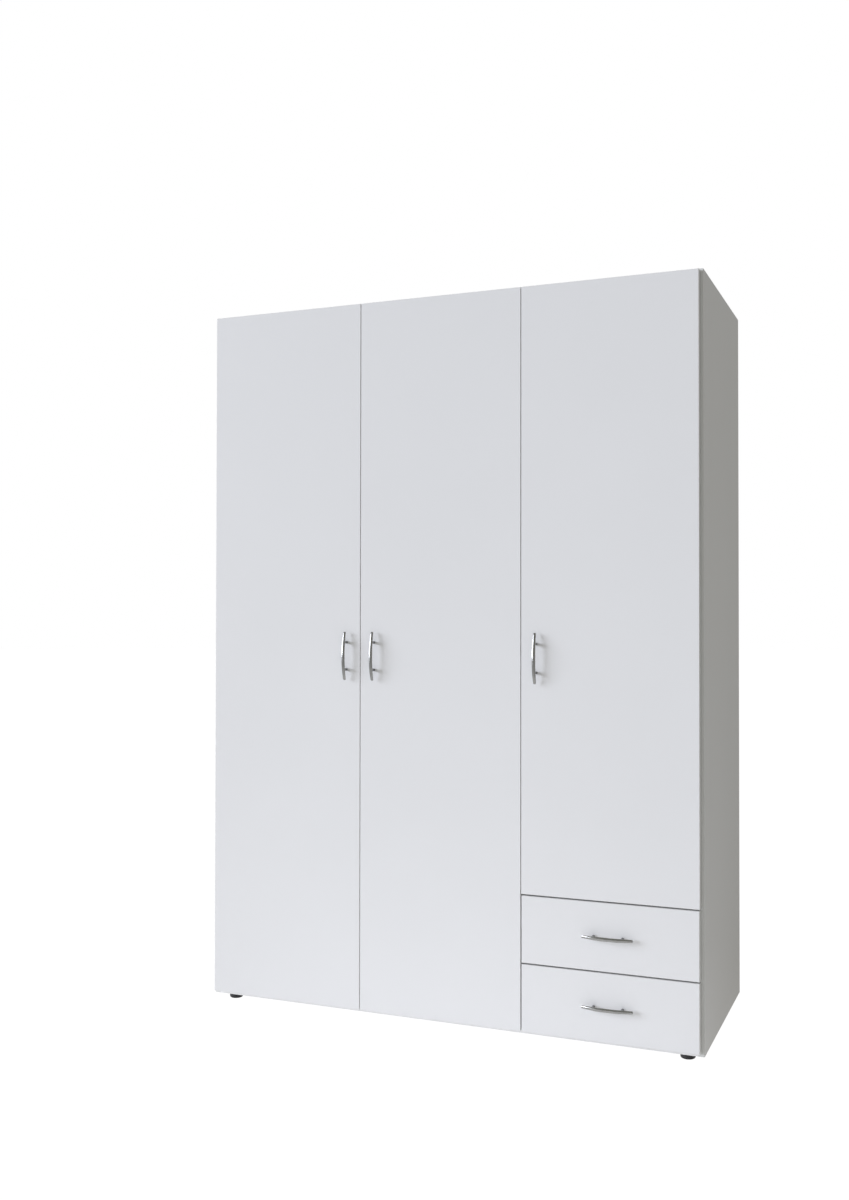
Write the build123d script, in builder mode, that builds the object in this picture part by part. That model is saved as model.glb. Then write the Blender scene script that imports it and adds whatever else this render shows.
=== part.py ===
from build123d import *
import os

# Three-door wardrobe with two drawers. Millimetres, +Z up, doors face -Y, origin on the floor
# under the middle of the whole box. Boards are 16 mm melamine-faced chipboard.

# Overall size
WIDTH = 1350.0
HEIGHT = 1900.0
DEPTH = 580.0                  # rear edges of the sides to the front faces of the doors
BOARD = 16.0

# Doors and drawer fronts over the carcass
SIDE_REVEAL = 7.5              # side panel edge left showing beside the doors
TOP_REVEAL = 4.0               # sides rise this far above the doors
BOTTOM_REVEAL = 10.0           # sides reach this far below the doors
DOOR_GAP = 2.0                 # between doors side by side
DOOR_STANDOFF = 2.0            # doors to carcass edges
FRONT_ROUND = 0.8
DRAWER_FRONT_HEIGHT = 168.0
DRAWER_GAP = 3.0               # over each drawer front
DRAWER_TRIM = 1.0              # drawer fronts are this much narrower on each side than the door

# Feet
FOOT_HEIGHT = 18.0
FOOT_RADIUS = 18.5
FOOT_ROUND = 6.0
FOOT_SIDE_INSET = 46.0
FOOT_EDGE_INSET = 54.0         # foot axis from the door faces, and from the rear edge
MIDDLE_FOOT_INSET = 150.0
STEM_RADIUS = 4.0
STEM_LENGTH = 11.0

# Handles
HANDLE_LENGTH = 128.0
HANDLE_SPACING = 72.0
HANDLE_RISE = 25.0             # door face to the top of the bow
HANDLE_END_RISE = 14.5
BOW_THICKNESS = 5.5
BOW_END_THICKNESS = 4.5
HANDLE_WIDTH = 9.5
HANDLE_END_WIDTH = 7.0
BOW_ROUND = 2.0
POST_RADIUS = 3.5
HANDLE_EDGE = 39.0             # door edge to the handle
HANDLE_HEIGHT = 960.0
SCREW_RADIUS = 2.0
SCREW_BITE = 10.0              # screw length inside the post
SCREW_HEAD_RADIUS = 4.0
SCREW_HEAD = 2.2

# Cup hinges
CUP_RADIUS = 17.5
CUP_DEPTH = 11.5
CUP_WALL = 0.8
CUP_EDGE = 3.0                 # door edge to the cup
CUP_FLANGE = 1.0
FLANGE_MARGIN = 1.0
WING_LENGTH = 62.0
WING_WIDTH = 16.0
HINGE_END = 100.0              # door end to the first hinge
HINGE_COUNT = 4                # on each door
ARM_WIDTH = 14.0
ARM_HEIGHT = 9.0
ARM_REACH = 72.0               # door face to the rear end of the arm
NECK_END = 27.0
NOSE = (17.0, 27.0)            # nose of the arm in the cup, from the door's hinge edge
NOSE_FRONT = 9.0
PLATE_THICKNESS = 3.0
PLATE_LENGTH = 26.0
PLATE_WIDTH = 50.0

# Back
BACK_THICKNESS = 3.0
BACK_RECESS = 1.5              # back sheets stand this far inside the rear edges
REBATE = 8.0
SHEET_GAP = 0.5
STRIP_FLANGE = 14.0
STRIP_THICKNESS = 1.0
NAIL_RADIUS = 0.8
NAIL_HEAD_RADIUS = 2.5
NAIL_HEAD = 0.8
NAIL_LENGTH = 18.0
NAIL_COUNT = 8                 # along each upright edge of a sheet

# Inside
DRAWER_SHELF_OVERLAP = 6.5     # fixed shelf over the drawers rises behind the right door
HAT_SHELF_DROP = 330.0         # clear height above the hat shelf
SHELF_SPACES = 4               # equal spaces in the right compartment above the drawers
SHELF_RECESS = 20.0
SHELF_REAR_GAP = 3.0
SHELF_SIDE_GAP = 1.0
PIN_RADIUS = 2.5
PIN_DEPTH = 9.0
PIN_TONGUE = 9.0
PIN_TONGUE_THICKNESS = 3.0
PIN_TONGUE_WIDTH = 12.0
PIN_INSET = 45.0
RAIL_DROP = 60.0
RAIL_HEIGHT = 30.0
RAIL_WIDTH = 15.0
RAIL_WALL = 1.0
SOCKET_DEPTH = 12.0
SOCKET_WALL = 2.5

# Cam fasteners
CAM_RADIUS = 7.5
CAM_DEPTH = 12.5
CAM_SETBACK = 34.0             # board end to the cam
CAM_BOLT_RADIUS = 3.0
CAM_BOLT_BITE = 11.0
CAM_INSET = 110.0              # board edge to the fastener
FIT = 0.1                      # clearance round fasteners, stems and cups

# Drawers
DRAWER_LENGTH = 450.0
DRAWER_SIDE = 12.0
DRAWER_SIDE_HEIGHT = 110.0
DRAWER_LIFT = 20.0             # front's lower edge to the box's lower edge
DRAWER_FLOOR = 3.0
GROOVE_DEPTH = 5.0
GROOVE_HEIGHT = 8.0
RUNNER_SPACE = 12.5
RUNNER_STEEL = 1.0
RUNNER_LENGTH = DRAWER_LENGTH  # carcass rails as long as the drawer sides
RUNNER_WEB = 34.0
RUNNER_FLANGE = 9.5            # tread of the carcass rails
RAIL_FLANGE = 9.0              # tread of the drawer rails
ROLLER_RADIUS = 8.5
ROLLER_WIDTH = 7.0
ROLLER_SET = 3.0               # panel face to the roller
ROLLER_LIFT = 12.0             # box's lower edge to the roller axis
ROLLER_PLAY = 0.3
ROLLER_FRONT = 15.0
ROLLER_REAR = 12.0
AXLE_RADIUS = 2.0
AXLE_PLAY = 0.05
AXLE_HEAD_RADIUS = 3.4
AXLE_HEAD = 0.7

# Bumpers
BUMPER_RADIUS = 2.6
BUMPER_THICKNESS = 1.5
BUMPER_INSET = 22.0

# Places worked out from the sizes above
FRONT = (HANDLE_RISE - DEPTH) / 2
DOOR_REAR = FRONT + BOARD
CARCASS_FRONT = DOOR_REAR + DOOR_STANDOFF
REAR = FRONT + DEPTH
SHEET_REAR = REAR - BACK_RECESS
SHEET_FRONT = SHEET_REAR - BACK_THICKNESS
SIDE_OUT = WIDTH / 2
SIDE_IN = SIDE_OUT - BOARD
DOOR_EDGE = SIDE_OUT - SIDE_REVEAL
DOOR_WIDTH = (2 * DOOR_EDGE - 2 * DOOR_GAP) / 3
DOOR_TOP = HEIGHT - TOP_REVEAL
DOOR_BOTTOM = FOOT_HEIGHT + BOTTOM_REVEAL
FLOOR_TOP = FOOT_HEIGHT + BOARD
CEILING = HEIGHT - BOARD
PARTITION = DOOR_EDGE - DOOR_WIDTH - DOOR_GAP / 2
PARTITION_LEFT = PARTITION - BOARD / 2
PARTITION_RIGHT = PARTITION + BOARD / 2
DRAWER_STEP = DRAWER_FRONT_HEIGHT + DRAWER_GAP
RIGHT_DOOR_BOTTOM = DOOR_BOTTOM + 2 * DRAWER_STEP
DRAWER_SHELF_TOP = RIGHT_DOOR_BOTTOM + DRAWER_SHELF_OVERLAP
HAT_SHELF_TOP = CEILING - HAT_SHELF_DROP
SHELF_STEP = (CEILING - DRAWER_SHELF_TOP + BOARD) / SHELF_SPACES
SHELF_TOPS = [DRAWER_SHELF_TOP + SHELF_STEP * n for n in range(1, SHELF_SPACES)]
BAY = (-SIDE_IN, PARTITION_LEFT)
NARROW_BAY = (PARTITION_RIGHT, SIDE_IN)
CUP_CENTRE = CUP_EDGE + CUP_RADIUS

# Each door: left edge, lower edge, and the side its hinges are on (-1 left, +1 right)
DOORS = {
    "left": (-DOOR_EDGE, DOOR_BOTTOM, -1),
    "middle": (-DOOR_EDGE + DOOR_WIDTH + DOOR_GAP, DOOR_BOTTOM, 1),
    "right": (DOOR_EDGE - DOOR_WIDTH, RIGHT_DOOR_BOTTOM, 1),
}
# The panel face that carries each door's hinge plates
HINGE_FACES = {"left": -SIDE_IN, "middle": PARTITION_LEFT, "right": SIDE_IN}
DRAWERS = {"lower": DOOR_BOTTOM, "upper": DOOR_BOTTOM + DRAWER_STEP}

# Cam fasteners at board ends: board name -> (board top, ((end x, way out of the board), ...))
CAM_JOINTS = {
    "top_panel": (HEIGHT, ((-SIDE_IN, -1), (SIDE_IN, 1))),
    "bottom_panel": (FLOOR_TOP, ((-SIDE_IN, -1), (SIDE_IN, 1))),
    "hat_shelf": (HAT_SHELF_TOP, ((BAY[0], -1), (BAY[1], 1))),
    "drawer_shelf": (DRAWER_SHELF_TOP, ((NARROW_BAY[0], -1), (NARROW_BAY[1], 1))),
}
CAM_ROWS = (CARCASS_FRONT + CAM_INSET, SHEET_FRONT - CAM_INSET)
# The partition is held at its two ends, from its right face: end height and direction
PARTITION_ENDS = ((FLOOR_TOP, -1), (CEILING, 1))


def save(part, name):
    """Label a finished piece and write it as its own file."""
    part.label = name
    export_step(part, "parts/" + name + ".step")


def block(x, y, z, mode=Mode.ADD):
    """Box between its limits on the three axes, each pair in either order."""
    middle = [(pair[0] + pair[1]) / 2 for pair in (x, y, z)]
    with Locations(tuple(middle)):
        Box(abs(x[1] - x[0]), abs(y[1] - y[0]), abs(z[1] - z[0]), mode=mode)


def rod(start, direction, radius, length, mode=Mode.ADD):
    """Cylinder from a point along a direction."""
    with Locations(Plane(origin=start, z_dir=direction)):
        Cylinder(radius, length, align=(Align.CENTER, Align.CENTER, Align.MIN), mode=mode)


def hinge_heights(name):
    """Heights of a door's hinges, the end ones set in, the rest spread evenly."""
    low = DOORS[name][1] + HINGE_END
    high = DOOR_TOP - HINGE_END
    return [low + (high - low) * n / (HINGE_COUNT - 1) for n in range(HINGE_COUNT)]


def hinge_edge(name):
    """The x of the door edge that carries the hinges."""
    left, _, side = DOORS[name]
    return left if side < 0 else left + DOOR_WIDTH


def cam_holes(name):
    """Cam pockets and bolt bores in one board that ends against two uprights."""
    top, ends = CAM_JOINTS[name]
    for end, way in ends:
        for row in CAM_ROWS:
            cam = (end - way * CAM_SETBACK, row, top - BOARD)
            rod(cam, (0, 0, 1), CAM_RADIUS + FIT, CAM_DEPTH + FIT, Mode.SUBTRACT)
            mouth = (end, row, top - BOARD / 2)
            rod(mouth, (-way, 0, 0), CAM_BOLT_RADIUS + FIT, CAM_SETBACK, Mode.SUBTRACT)


def bolt_bores(face):
    """Bores in an upright for the cam bolts of the boards that end on that face."""
    for top, ends in CAM_JOINTS.values():
        for end, way in ends:
            if abs(end - face) > FIT:
                continue
            for row in CAM_ROWS:
                mouth = (end, row, top - BOARD / 2)
                rod(mouth, (way, 0, 0), CAM_BOLT_RADIUS + FIT, CAM_BOLT_BITE + FIT, Mode.SUBTRACT)


def shelf_pin_places():
    """Each shelf pin: the point on the upright's face and the way the hole goes in."""
    rows = (CARCASS_FRONT + SHELF_RECESS + PIN_INSET, SHEET_FRONT - SHELF_REAR_GAP - PIN_INSET)
    places = []
    for top in SHELF_TOPS:
        under = top - BOARD - PIN_TONGUE_THICKNESS / 2
        for face, way in ((NARROW_BAY[0], -1), (NARROW_BAY[1], 1)):
            places += [((face, row, under), way) for row in rows]
    return places


def pin_holes(face):
    """Shelf pin holes in one upright."""
    for place, way in shelf_pin_places():
        if abs(place[0] - face) < FIT:
            rod(place, (way, 0, 0), PIN_RADIUS + FIT, PIN_DEPTH + FIT, Mode.SUBTRACT)


def nail_places():
    """Nails that hold the back sheets, as points on the sheets' rear faces."""
    low = FLOOR_TOP - BOARD / 2
    high = CEILING + BOARD / 2
    places = []
    for x in (-SIDE_IN - REBATE / 2, PARTITION - REBATE / 2, PARTITION + REBATE / 2,
              SIDE_IN + REBATE / 2):
        for n in range(NAIL_COUNT):
            places.append((x, SHEET_REAR, low + (high - low) * (n + 0.5) / NAIL_COUNT))
    for left, right in sheet_spans():
        for share in (0.2, 0.5, 0.8):
            x = left + (right - left) * share
            places += [(x, SHEET_REAR, low), (x, SHEET_REAR, high)]
    return places


def nail_holes():
    """Bores for the nails in whatever board is being built."""
    for place in nail_places():
        rod(place, (0, -1, 0), NAIL_RADIUS + FIT / 2, NAIL_LENGTH, Mode.SUBTRACT)


def sheet_spans():
    """Left and right edges of the three back sheets."""
    outer = SIDE_IN + REBATE - SHEET_GAP
    joint = (BAY[0] + BAY[1]) / 2
    half_web = STRIP_THICKNESS / 2 + FIT
    return (
        (-outer, joint - half_web),
        (joint + half_web, PARTITION - SHEET_GAP),
        (PARTITION + SHEET_GAP, outer),
    )


def side_panel(way):
    """Side panel with a rebate for the back, fastener bores and shelf pin holes."""
    with BuildPart() as side:
        block((way * SIDE_IN, way * SIDE_OUT), (CARCASS_FRONT, REAR), (FOOT_HEIGHT, HEIGHT))
        block((way * SIDE_IN, way * (SIDE_IN + REBATE)), (SHEET_FRONT, REAR),
              (FOOT_HEIGHT, HEIGHT), Mode.SUBTRACT)
        bolt_bores(way * SIDE_IN)
        pin_holes(way * SIDE_IN)
        nail_holes()
    return side.part


def partition_panel():
    """Upright between the middle and the right doors."""
    with BuildPart() as partition:
        block((PARTITION_LEFT, PARTITION_RIGHT), (CARCASS_FRONT, SHEET_FRONT), (FLOOR_TOP, CEILING))
        bolt_bores(PARTITION_LEFT)
        bolt_bores(PARTITION_RIGHT)
        pin_holes(PARTITION_RIGHT)
        nail_holes()
        for end, way in PARTITION_ENDS:
            for row in CAM_ROWS:
                cam = (PARTITION_RIGHT, row, end - way * CAM_SETBACK)
                rod(cam, (-1, 0, 0), CAM_RADIUS + FIT, CAM_DEPTH + FIT, Mode.SUBTRACT)
                rod((PARTITION, row, end), (0, 0, -way), CAM_BOLT_RADIUS + FIT, CAM_SETBACK,
                    Mode.SUBTRACT)
    return partition.part


def end_board(name, z, way):
    """Top or bottom panel: full width between the sides, with the partition's bolt bores."""
    with BuildPart() as board:
        block((-SIDE_IN, SIDE_IN), (CARCASS_FRONT, SHEET_FRONT), z)
        cam_holes(name)
        nail_holes()
        for row in CAM_ROWS:
            start = (PARTITION, row, z[0] if way > 0 else z[1])
            rod(start, (0, 0, way), CAM_BOLT_RADIUS + FIT, CAM_BOLT_BITE + FIT, Mode.SUBTRACT)
        if way < 0:
            for x, y in foot_places("front") + foot_places("rear") + foot_places("middle"):
                rod((x, y, z[0]), (0, 0, 1), STEM_RADIUS + FIT, STEM_LENGTH + FIT, Mode.SUBTRACT)
    return board.part


def fixed_shelf(name, bay, top):
    """Shelf held by cam fasteners at both ends."""
    with BuildPart() as shelf:
        block(bay, (CARCASS_FRONT, SHEET_FRONT - SHELF_REAR_GAP), (top - BOARD, top))
        cam_holes(name)
    return shelf.part


def loose_shelf(top):
    """Shelf that lies on four pins."""
    with BuildPart() as shelf:
        block((NARROW_BAY[0] + SHELF_SIDE_GAP, NARROW_BAY[1] - SHELF_SIDE_GAP),
              (CARCASS_FRONT + SHELF_RECESS, SHEET_FRONT - SHELF_REAR_GAP), (top - BOARD, top))
    return shelf.part


def shelf_pins():
    """Pins with a flat tongue under the shelves."""
    with BuildPart() as pins:
        for place, way in shelf_pin_places():
            x, y, z = place
            rod(place, (way, 0, 0), PIN_RADIUS, PIN_DEPTH)
            block((x, x - way * PIN_TONGUE),
                  (y - PIN_TONGUE_WIDTH / 2, y + PIN_TONGUE_WIDTH / 2),
                  (z - PIN_TONGUE_THICKNESS / 2, z + PIN_TONGUE_THICKNESS / 2))
    return pins.part


def back_sheet(span):
    """One hardboard sheet of the back, with its nail holes."""
    with BuildPart() as sheet:
        block(span, (SHEET_FRONT, SHEET_REAR), (FOOT_HEIGHT + SHEET_GAP, HEIGHT - SHEET_GAP))
        nail_holes()
    return sheet.part


def back_strip():
    """H-section strip that joins two back sheets in the middle of the wide bay."""
    joint = (BAY[0] + BAY[1]) / 2
    with BuildPart() as strip:
        with BuildSketch(Plane.XY.offset(FLOOR_TOP + SHEET_GAP)):
            with Locations((joint, (SHEET_FRONT + SHEET_REAR) / 2)):
                Rectangle(STRIP_THICKNESS, BACK_THICKNESS + 2 * STRIP_THICKNESS)
            for y in (SHEET_FRONT - STRIP_THICKNESS / 2, SHEET_REAR + STRIP_THICKNESS / 2):
                with Locations((joint, y)):
                    Rectangle(STRIP_FLANGE, STRIP_THICKNESS)
        extrude(amount=CEILING - FLOOR_TOP - 2 * SHEET_GAP)
    return strip.part


def back_nails():
    """Flat-headed nails."""
    with BuildPart() as nails:
        for place in nail_places():
            rod(place, (0, -1, 0), NAIL_RADIUS, NAIL_LENGTH - FIT)
            rod(place, (0, 1, 0), NAIL_HEAD_RADIUS, NAIL_HEAD)
    return nails.part


def foot_places(row):
    """Axes of one row of feet."""
    side = SIDE_OUT - FOOT_SIDE_INSET
    front = FRONT + FOOT_EDGE_INSET
    rear = REAR - FOOT_EDGE_INSET
    if row == "front":
        return [(-side, front), (side, front)]
    if row == "rear":
        return [(-side, rear), (side, rear)]
    return [(PARTITION, FRONT + MIDDLE_FOOT_INSET), (PARTITION, rear)]


def feet(row):
    """Round plastic feet with a rounded lower edge and a stem in the bottom panel."""
    with BuildPart() as group:
        for x, y in foot_places(row):
            with BuildSketch(Plane(origin=(x, y, 0), x_dir=(1, 0, 0), z_dir=(0, -1, 0))):
                with BuildLine():
                    Line((0, 0), (FOOT_RADIUS - FOOT_ROUND, 0))
                    RadiusArc((FOOT_RADIUS - FOOT_ROUND, 0), (FOOT_RADIUS, FOOT_ROUND), -FOOT_ROUND)
                    Line((FOOT_RADIUS, FOOT_ROUND), (FOOT_RADIUS, FOOT_HEIGHT))
                    Line((FOOT_RADIUS, FOOT_HEIGHT), (STEM_RADIUS, FOOT_HEIGHT))
                    Line((STEM_RADIUS, FOOT_HEIGHT), (STEM_RADIUS, FOOT_HEIGHT + STEM_LENGTH))
                    Line((STEM_RADIUS, FOOT_HEIGHT + STEM_LENGTH), (0, FOOT_HEIGHT + STEM_LENGTH))
                    Line((0, FOOT_HEIGHT + STEM_LENGTH), (0, 0))
                make_face()
            revolve(axis=Axis((x, y, 0), (0, 0, 1)))
    return group.part


def cam_locks():
    """Round eccentric locks in the boards and the partition."""
    with BuildPart() as locks:
        for top, ends in CAM_JOINTS.values():
            for end, way in ends:
                for row in CAM_ROWS:
                    rod((end - way * CAM_SETBACK, row, top - BOARD), (0, 0, 1), CAM_RADIUS, CAM_DEPTH)
        for end, way in PARTITION_ENDS:
            for row in CAM_ROWS:
                rod((PARTITION_RIGHT, row, end - way * CAM_SETBACK), (-1, 0, 0), CAM_RADIUS, CAM_DEPTH)
    return locks.part


def cam_bolts():
    """Bolts from the uprights to the locks."""
    free = CAM_SETBACK - CAM_RADIUS - FIT
    with BuildPart() as bolts:
        for top, ends in CAM_JOINTS.values():
            for end, way in ends:
                for row in CAM_ROWS:
                    tip = (end + way * CAM_BOLT_BITE, row, top - BOARD / 2)
                    rod(tip, (-way, 0, 0), CAM_BOLT_RADIUS, CAM_BOLT_BITE + free)
        for end, way in PARTITION_ENDS:
            for row in CAM_ROWS:
                tip = (PARTITION, row, end + way * CAM_BOLT_BITE)
                rod(tip, (0, 0, -way), CAM_BOLT_RADIUS, CAM_BOLT_BITE + free)
    return bolts.part


def clothes_rail():
    """Oval tube across the wide bay."""
    z = HAT_SHELF_TOP - BOARD - RAIL_DROP
    with BuildPart() as rail:
        with BuildSketch(Plane(origin=(BAY[0] + SOCKET_WALL, rail_row(), z), x_dir=(0, 0, 1),
                               z_dir=(1, 0, 0))):
            SlotOverall(RAIL_HEIGHT, RAIL_WIDTH)
            SlotOverall(RAIL_HEIGHT - 2 * RAIL_WALL, RAIL_WIDTH - 2 * RAIL_WALL, mode=Mode.SUBTRACT)
        extrude(amount=BAY[1] - BAY[0] - 2 * SOCKET_WALL)
    return rail.part


def rail_row():
    """The clothes rail runs in the middle of the inside depth."""
    return (CARCASS_FRONT + SHEET_FRONT) / 2


def rail_sockets():
    """Sockets on the uprights that hold the clothes rail's ends."""
    z = HAT_SHELF_TOP - BOARD - RAIL_DROP
    outer = (RAIL_HEIGHT + 2 * SOCKET_WALL, RAIL_WIDTH + 2 * SOCKET_WALL)
    with BuildPart() as sockets:
        for face, way in ((BAY[0], 1), (BAY[1], -1)):
            with BuildSketch(Plane(origin=(face, rail_row(), z), x_dir=(0, 0, 1), z_dir=(way, 0, 0))):
                SlotOverall(*outer)
            extrude(amount=SOCKET_DEPTH)
            with BuildSketch(Plane(origin=(face + way * SOCKET_WALL, rail_row(), z),
                                   x_dir=(0, 0, 1), z_dir=(way, 0, 0))):
                SlotOverall(RAIL_HEIGHT + FIT, RAIL_WIDTH + FIT)
            extrude(amount=SOCKET_DEPTH, mode=Mode.SUBTRACT)
    return sockets.part


def hinge_plates():
    """Mounting plates on the uprights."""
    with BuildPart() as plates:
        for name, (_, _, side) in DOORS.items():
            face = HINGE_FACES[name]
            rear = FRONT + ARM_REACH
            for z in hinge_heights(name):
                block((face, face - side * PLATE_THICKNESS), (rear - PLATE_LENGTH, rear),
                      (z - PLATE_WIDTH / 2, z + PLATE_WIDTH / 2))
    return plates.part


def hinge_arms():
    """Cranked arms from the plates into the cups."""
    with BuildPart() as arms:
        for name, (_, _, side) in DOORS.items():
            edge = hinge_edge(name)
            seat = abs(HINGE_FACES[name] - edge) + PLATE_THICKNESS
            outline = [
                (NOSE[0], NOSE_FRONT), (NOSE[1], NOSE_FRONT), (NOSE[1], BOARD),
                (seat + ARM_HEIGHT, NECK_END), (seat + ARM_HEIGHT, ARM_REACH),
                (seat, ARM_REACH), (seat, NECK_END), (NOSE[0], BOARD),
            ]
            points = [(edge - side * u, FRONT + v) for u, v in outline]
            for z in hinge_heights(name):
                with BuildSketch(Plane.XY.offset(z - ARM_WIDTH / 2)):
                    with BuildLine():
                        Polyline(*points, close=True)
                    make_face()
                extrude(amount=ARM_WIDTH)
    return arms.part


def door_bumpers():
    """Soft pads on the carcass edges behind the doors' and drawer fronts' free sides."""
    top = (CEILING + DOOR_TOP) / 2
    bottom = (FLOOR_TOP + DOOR_BOTTOM) / 2
    inner = (PARTITION_RIGHT + DOORS["right"][0] + DRAWER_TRIM) / 2
    outer = (SIDE_IN + DOOR_EDGE - DRAWER_TRIM) / 2
    seam = -DOOR_EDGE + DOOR_WIDTH + DOOR_GAP / 2
    places = [(x, z) for x in (seam - BUMPER_INSET, seam + BUMPER_INSET) for z in (top, bottom)]
    places.append((inner + BUMPER_INSET, top))
    places += [(outer, z + DRAWER_FRONT_HEIGHT / 2) for z in DRAWERS.values()]
    with BuildPart() as bumpers:
        for x, z in places:
            rod((x, CARCASS_FRONT, z), (0, -1, 0), BUMPER_RADIUS, BUMPER_THICKNESS)
    return bumpers.part


def runner_rails():
    """Carcass members of the roller runners: steel angles, each with its front axle."""
    with BuildPart() as rails:
        for front_z in DRAWERS.values():
            axis = front_z + DRAWER_LIFT + ROLLER_LIFT
            tread = axis - ROLLER_RADIUS - ROLLER_PLAY
            y = (CARCASS_FRONT + RUNNER_STEEL, CARCASS_FRONT + RUNNER_STEEL + RUNNER_LENGTH)
            for face, way in ((NARROW_BAY[0], 1), (NARROW_BAY[1], -1)):
                inner = face + way * RUNNER_STEEL
                block((face, inner), y, (tread - RUNNER_STEEL, tread + RUNNER_WEB))
                block((inner, inner + way * RUNNER_FLANGE), y, (tread - RUNNER_STEEL, tread))
                axle = (inner, CARCASS_FRONT + ROLLER_FRONT, axis)
                reach = ROLLER_SET + ROLLER_WIDTH + ROLLER_PLAY - RUNNER_STEEL
                rod(axle, (way, 0, 0), AXLE_RADIUS, reach)
                rod((inner + way * reach, axle[1], axis), (way, 0, 0), AXLE_HEAD_RADIUS, AXLE_HEAD)
    return rails.part


def rollers(front_z, y):
    """Pair of nylon rollers on one cross axis."""
    axis = front_z + DRAWER_LIFT + ROLLER_LIFT
    with BuildPart() as pair:
        for face, way in ((NARROW_BAY[0], 1), (NARROW_BAY[1], -1)):
            start = (face + way * ROLLER_SET, y, axis)
            rod(start, (way, 0, 0), ROLLER_RADIUS, ROLLER_WIDTH)
            rod(start, (way, 0, 0), AXLE_RADIUS + AXLE_PLAY, ROLLER_WIDTH, Mode.SUBTRACT)
    return pair.part


def drawer_rails(front_z):
    """Drawer members of the runners: steel angles under the box sides, with the rear axles."""
    low = front_z + DRAWER_LIFT
    axis = low + ROLLER_LIFT
    tread = axis + ROLLER_RADIUS + ROLLER_PLAY
    y = (DOOR_REAR, DOOR_REAR + DRAWER_LENGTH)
    with BuildPart() as rails:
        for face, way in ((NARROW_BAY[0], 1), (NARROW_BAY[1], -1)):
            box_side = face + way * RUNNER_SPACE
            web = box_side - way * RUNNER_STEEL
            block((web, box_side), y, (low - RUNNER_STEEL, tread + RUNNER_STEEL))
            block((web, web - way * RAIL_FLANGE), y, (tread, tread + RUNNER_STEEL))
            block((box_side, box_side + way * DRAWER_SIDE), y, (low - RUNNER_STEEL, low))
            reach = abs(web - face) - ROLLER_SET + ROLLER_PLAY
            axle_y = y[1] - ROLLER_REAR
            rod((web, axle_y, axis), (-way, 0, 0), AXLE_RADIUS, reach)
            rod((web - way * reach, axle_y, axis), (-way, 0, 0), AXLE_HEAD_RADIUS, AXLE_HEAD)
    return rails.part


def drawer_walls():
    """Outer x limits of the drawer boxes."""
    return NARROW_BAY[0] + RUNNER_SPACE, NARROW_BAY[1] - RUNNER_SPACE


def floor_limits(front_z):
    """Heights of a drawer floor."""
    low = front_z + DRAWER_LIFT + GROOVE_HEIGHT
    return low, low + DRAWER_FLOOR


def drawer_floor(front_z, fit=0.0, mode=Mode.ADD):
    """Thin drawer floor, which sits in grooves in the sides and the front."""
    left, right = drawer_walls()
    sink = DRAWER_SIDE - GROOVE_DEPTH - fit
    low, high = floor_limits(front_z)
    block((left + sink, right - sink), (DOOR_REAR - GROOVE_DEPTH - fit, DOOR_REAR + DRAWER_LENGTH),
          (low - fit, high + fit), mode)


def drawer_floor_board(front_z):
    """The drawer floor as a piece."""
    with BuildPart() as floor:
        drawer_floor(front_z)
    return floor.part


def drawer_side(front_z, way):
    """Side of a drawer box, grooved for the floor."""
    left, right = drawer_walls()
    outer, inner = (left, left + DRAWER_SIDE) if way < 0 else (right, right - DRAWER_SIDE)
    low = front_z + DRAWER_LIFT
    with BuildPart() as side:
        block((outer, inner), (DOOR_REAR, DOOR_REAR + DRAWER_LENGTH), (low, low + DRAWER_SIDE_HEIGHT))
        drawer_floor(front_z, FIT, Mode.SUBTRACT)
    return side.part


def drawer_back(front_z):
    """Rear wall of a drawer box, which stands on the floor."""
    left, right = drawer_walls()
    rear = DOOR_REAR + DRAWER_LENGTH
    top = front_z + DRAWER_LIFT + DRAWER_SIDE_HEIGHT
    with BuildPart() as back:
        block((left + DRAWER_SIDE, right - DRAWER_SIDE), (rear - DRAWER_SIDE, rear),
              (floor_limits(front_z)[1], top))
    return back.part


def handle_points(centre, along):
    """The two screw points of a handle on a front face."""
    x, z = centre
    half = HANDLE_SPACING / 2
    return [(x + along[0] * step, FRONT, z + along[1] * step) for step in (-half, half)]


def drill_handle(centre, along):
    """Through holes for the handle screws."""
    for point in handle_points(centre, along):
        rod(point, (0, 1, 0), SCREW_RADIUS + FIT, BOARD, Mode.SUBTRACT)


def drawer_front(front_z):
    """Drawer front with handle holes and a groove for the floor."""
    left = DOORS["right"][0] + DRAWER_TRIM
    right = left + DOOR_WIDTH - 2 * DRAWER_TRIM
    with BuildPart() as front:
        block((left, right), (FRONT, DOOR_REAR), (front_z, front_z + DRAWER_FRONT_HEIGHT))
        fillet(front.faces().sort_by(Axis.Y)[0].edges(), FRONT_ROUND)
        drawer_floor(front_z, FIT, Mode.SUBTRACT)
        drill_handle(drawer_handle_centre(front_z), (1, 0))
    return front.part


def door_panel(name):
    """Door with its cup pockets and handle holes."""
    left, low, side = DOORS[name]
    edge = hinge_edge(name)
    with BuildPart() as door:
        block((left, left + DOOR_WIDTH), (FRONT, DOOR_REAR), (low, DOOR_TOP))
        fillet(door.faces().sort_by(Axis.Y)[0].edges(), FRONT_ROUND)
        for z in hinge_heights(name):
            rod((edge - side * CUP_CENTRE, DOOR_REAR, z), (0, -1, 0), CUP_RADIUS, CUP_DEPTH,
                Mode.SUBTRACT)
        drill_handle(door_handle_centre(name), (0, 1))
    return door.part


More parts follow.
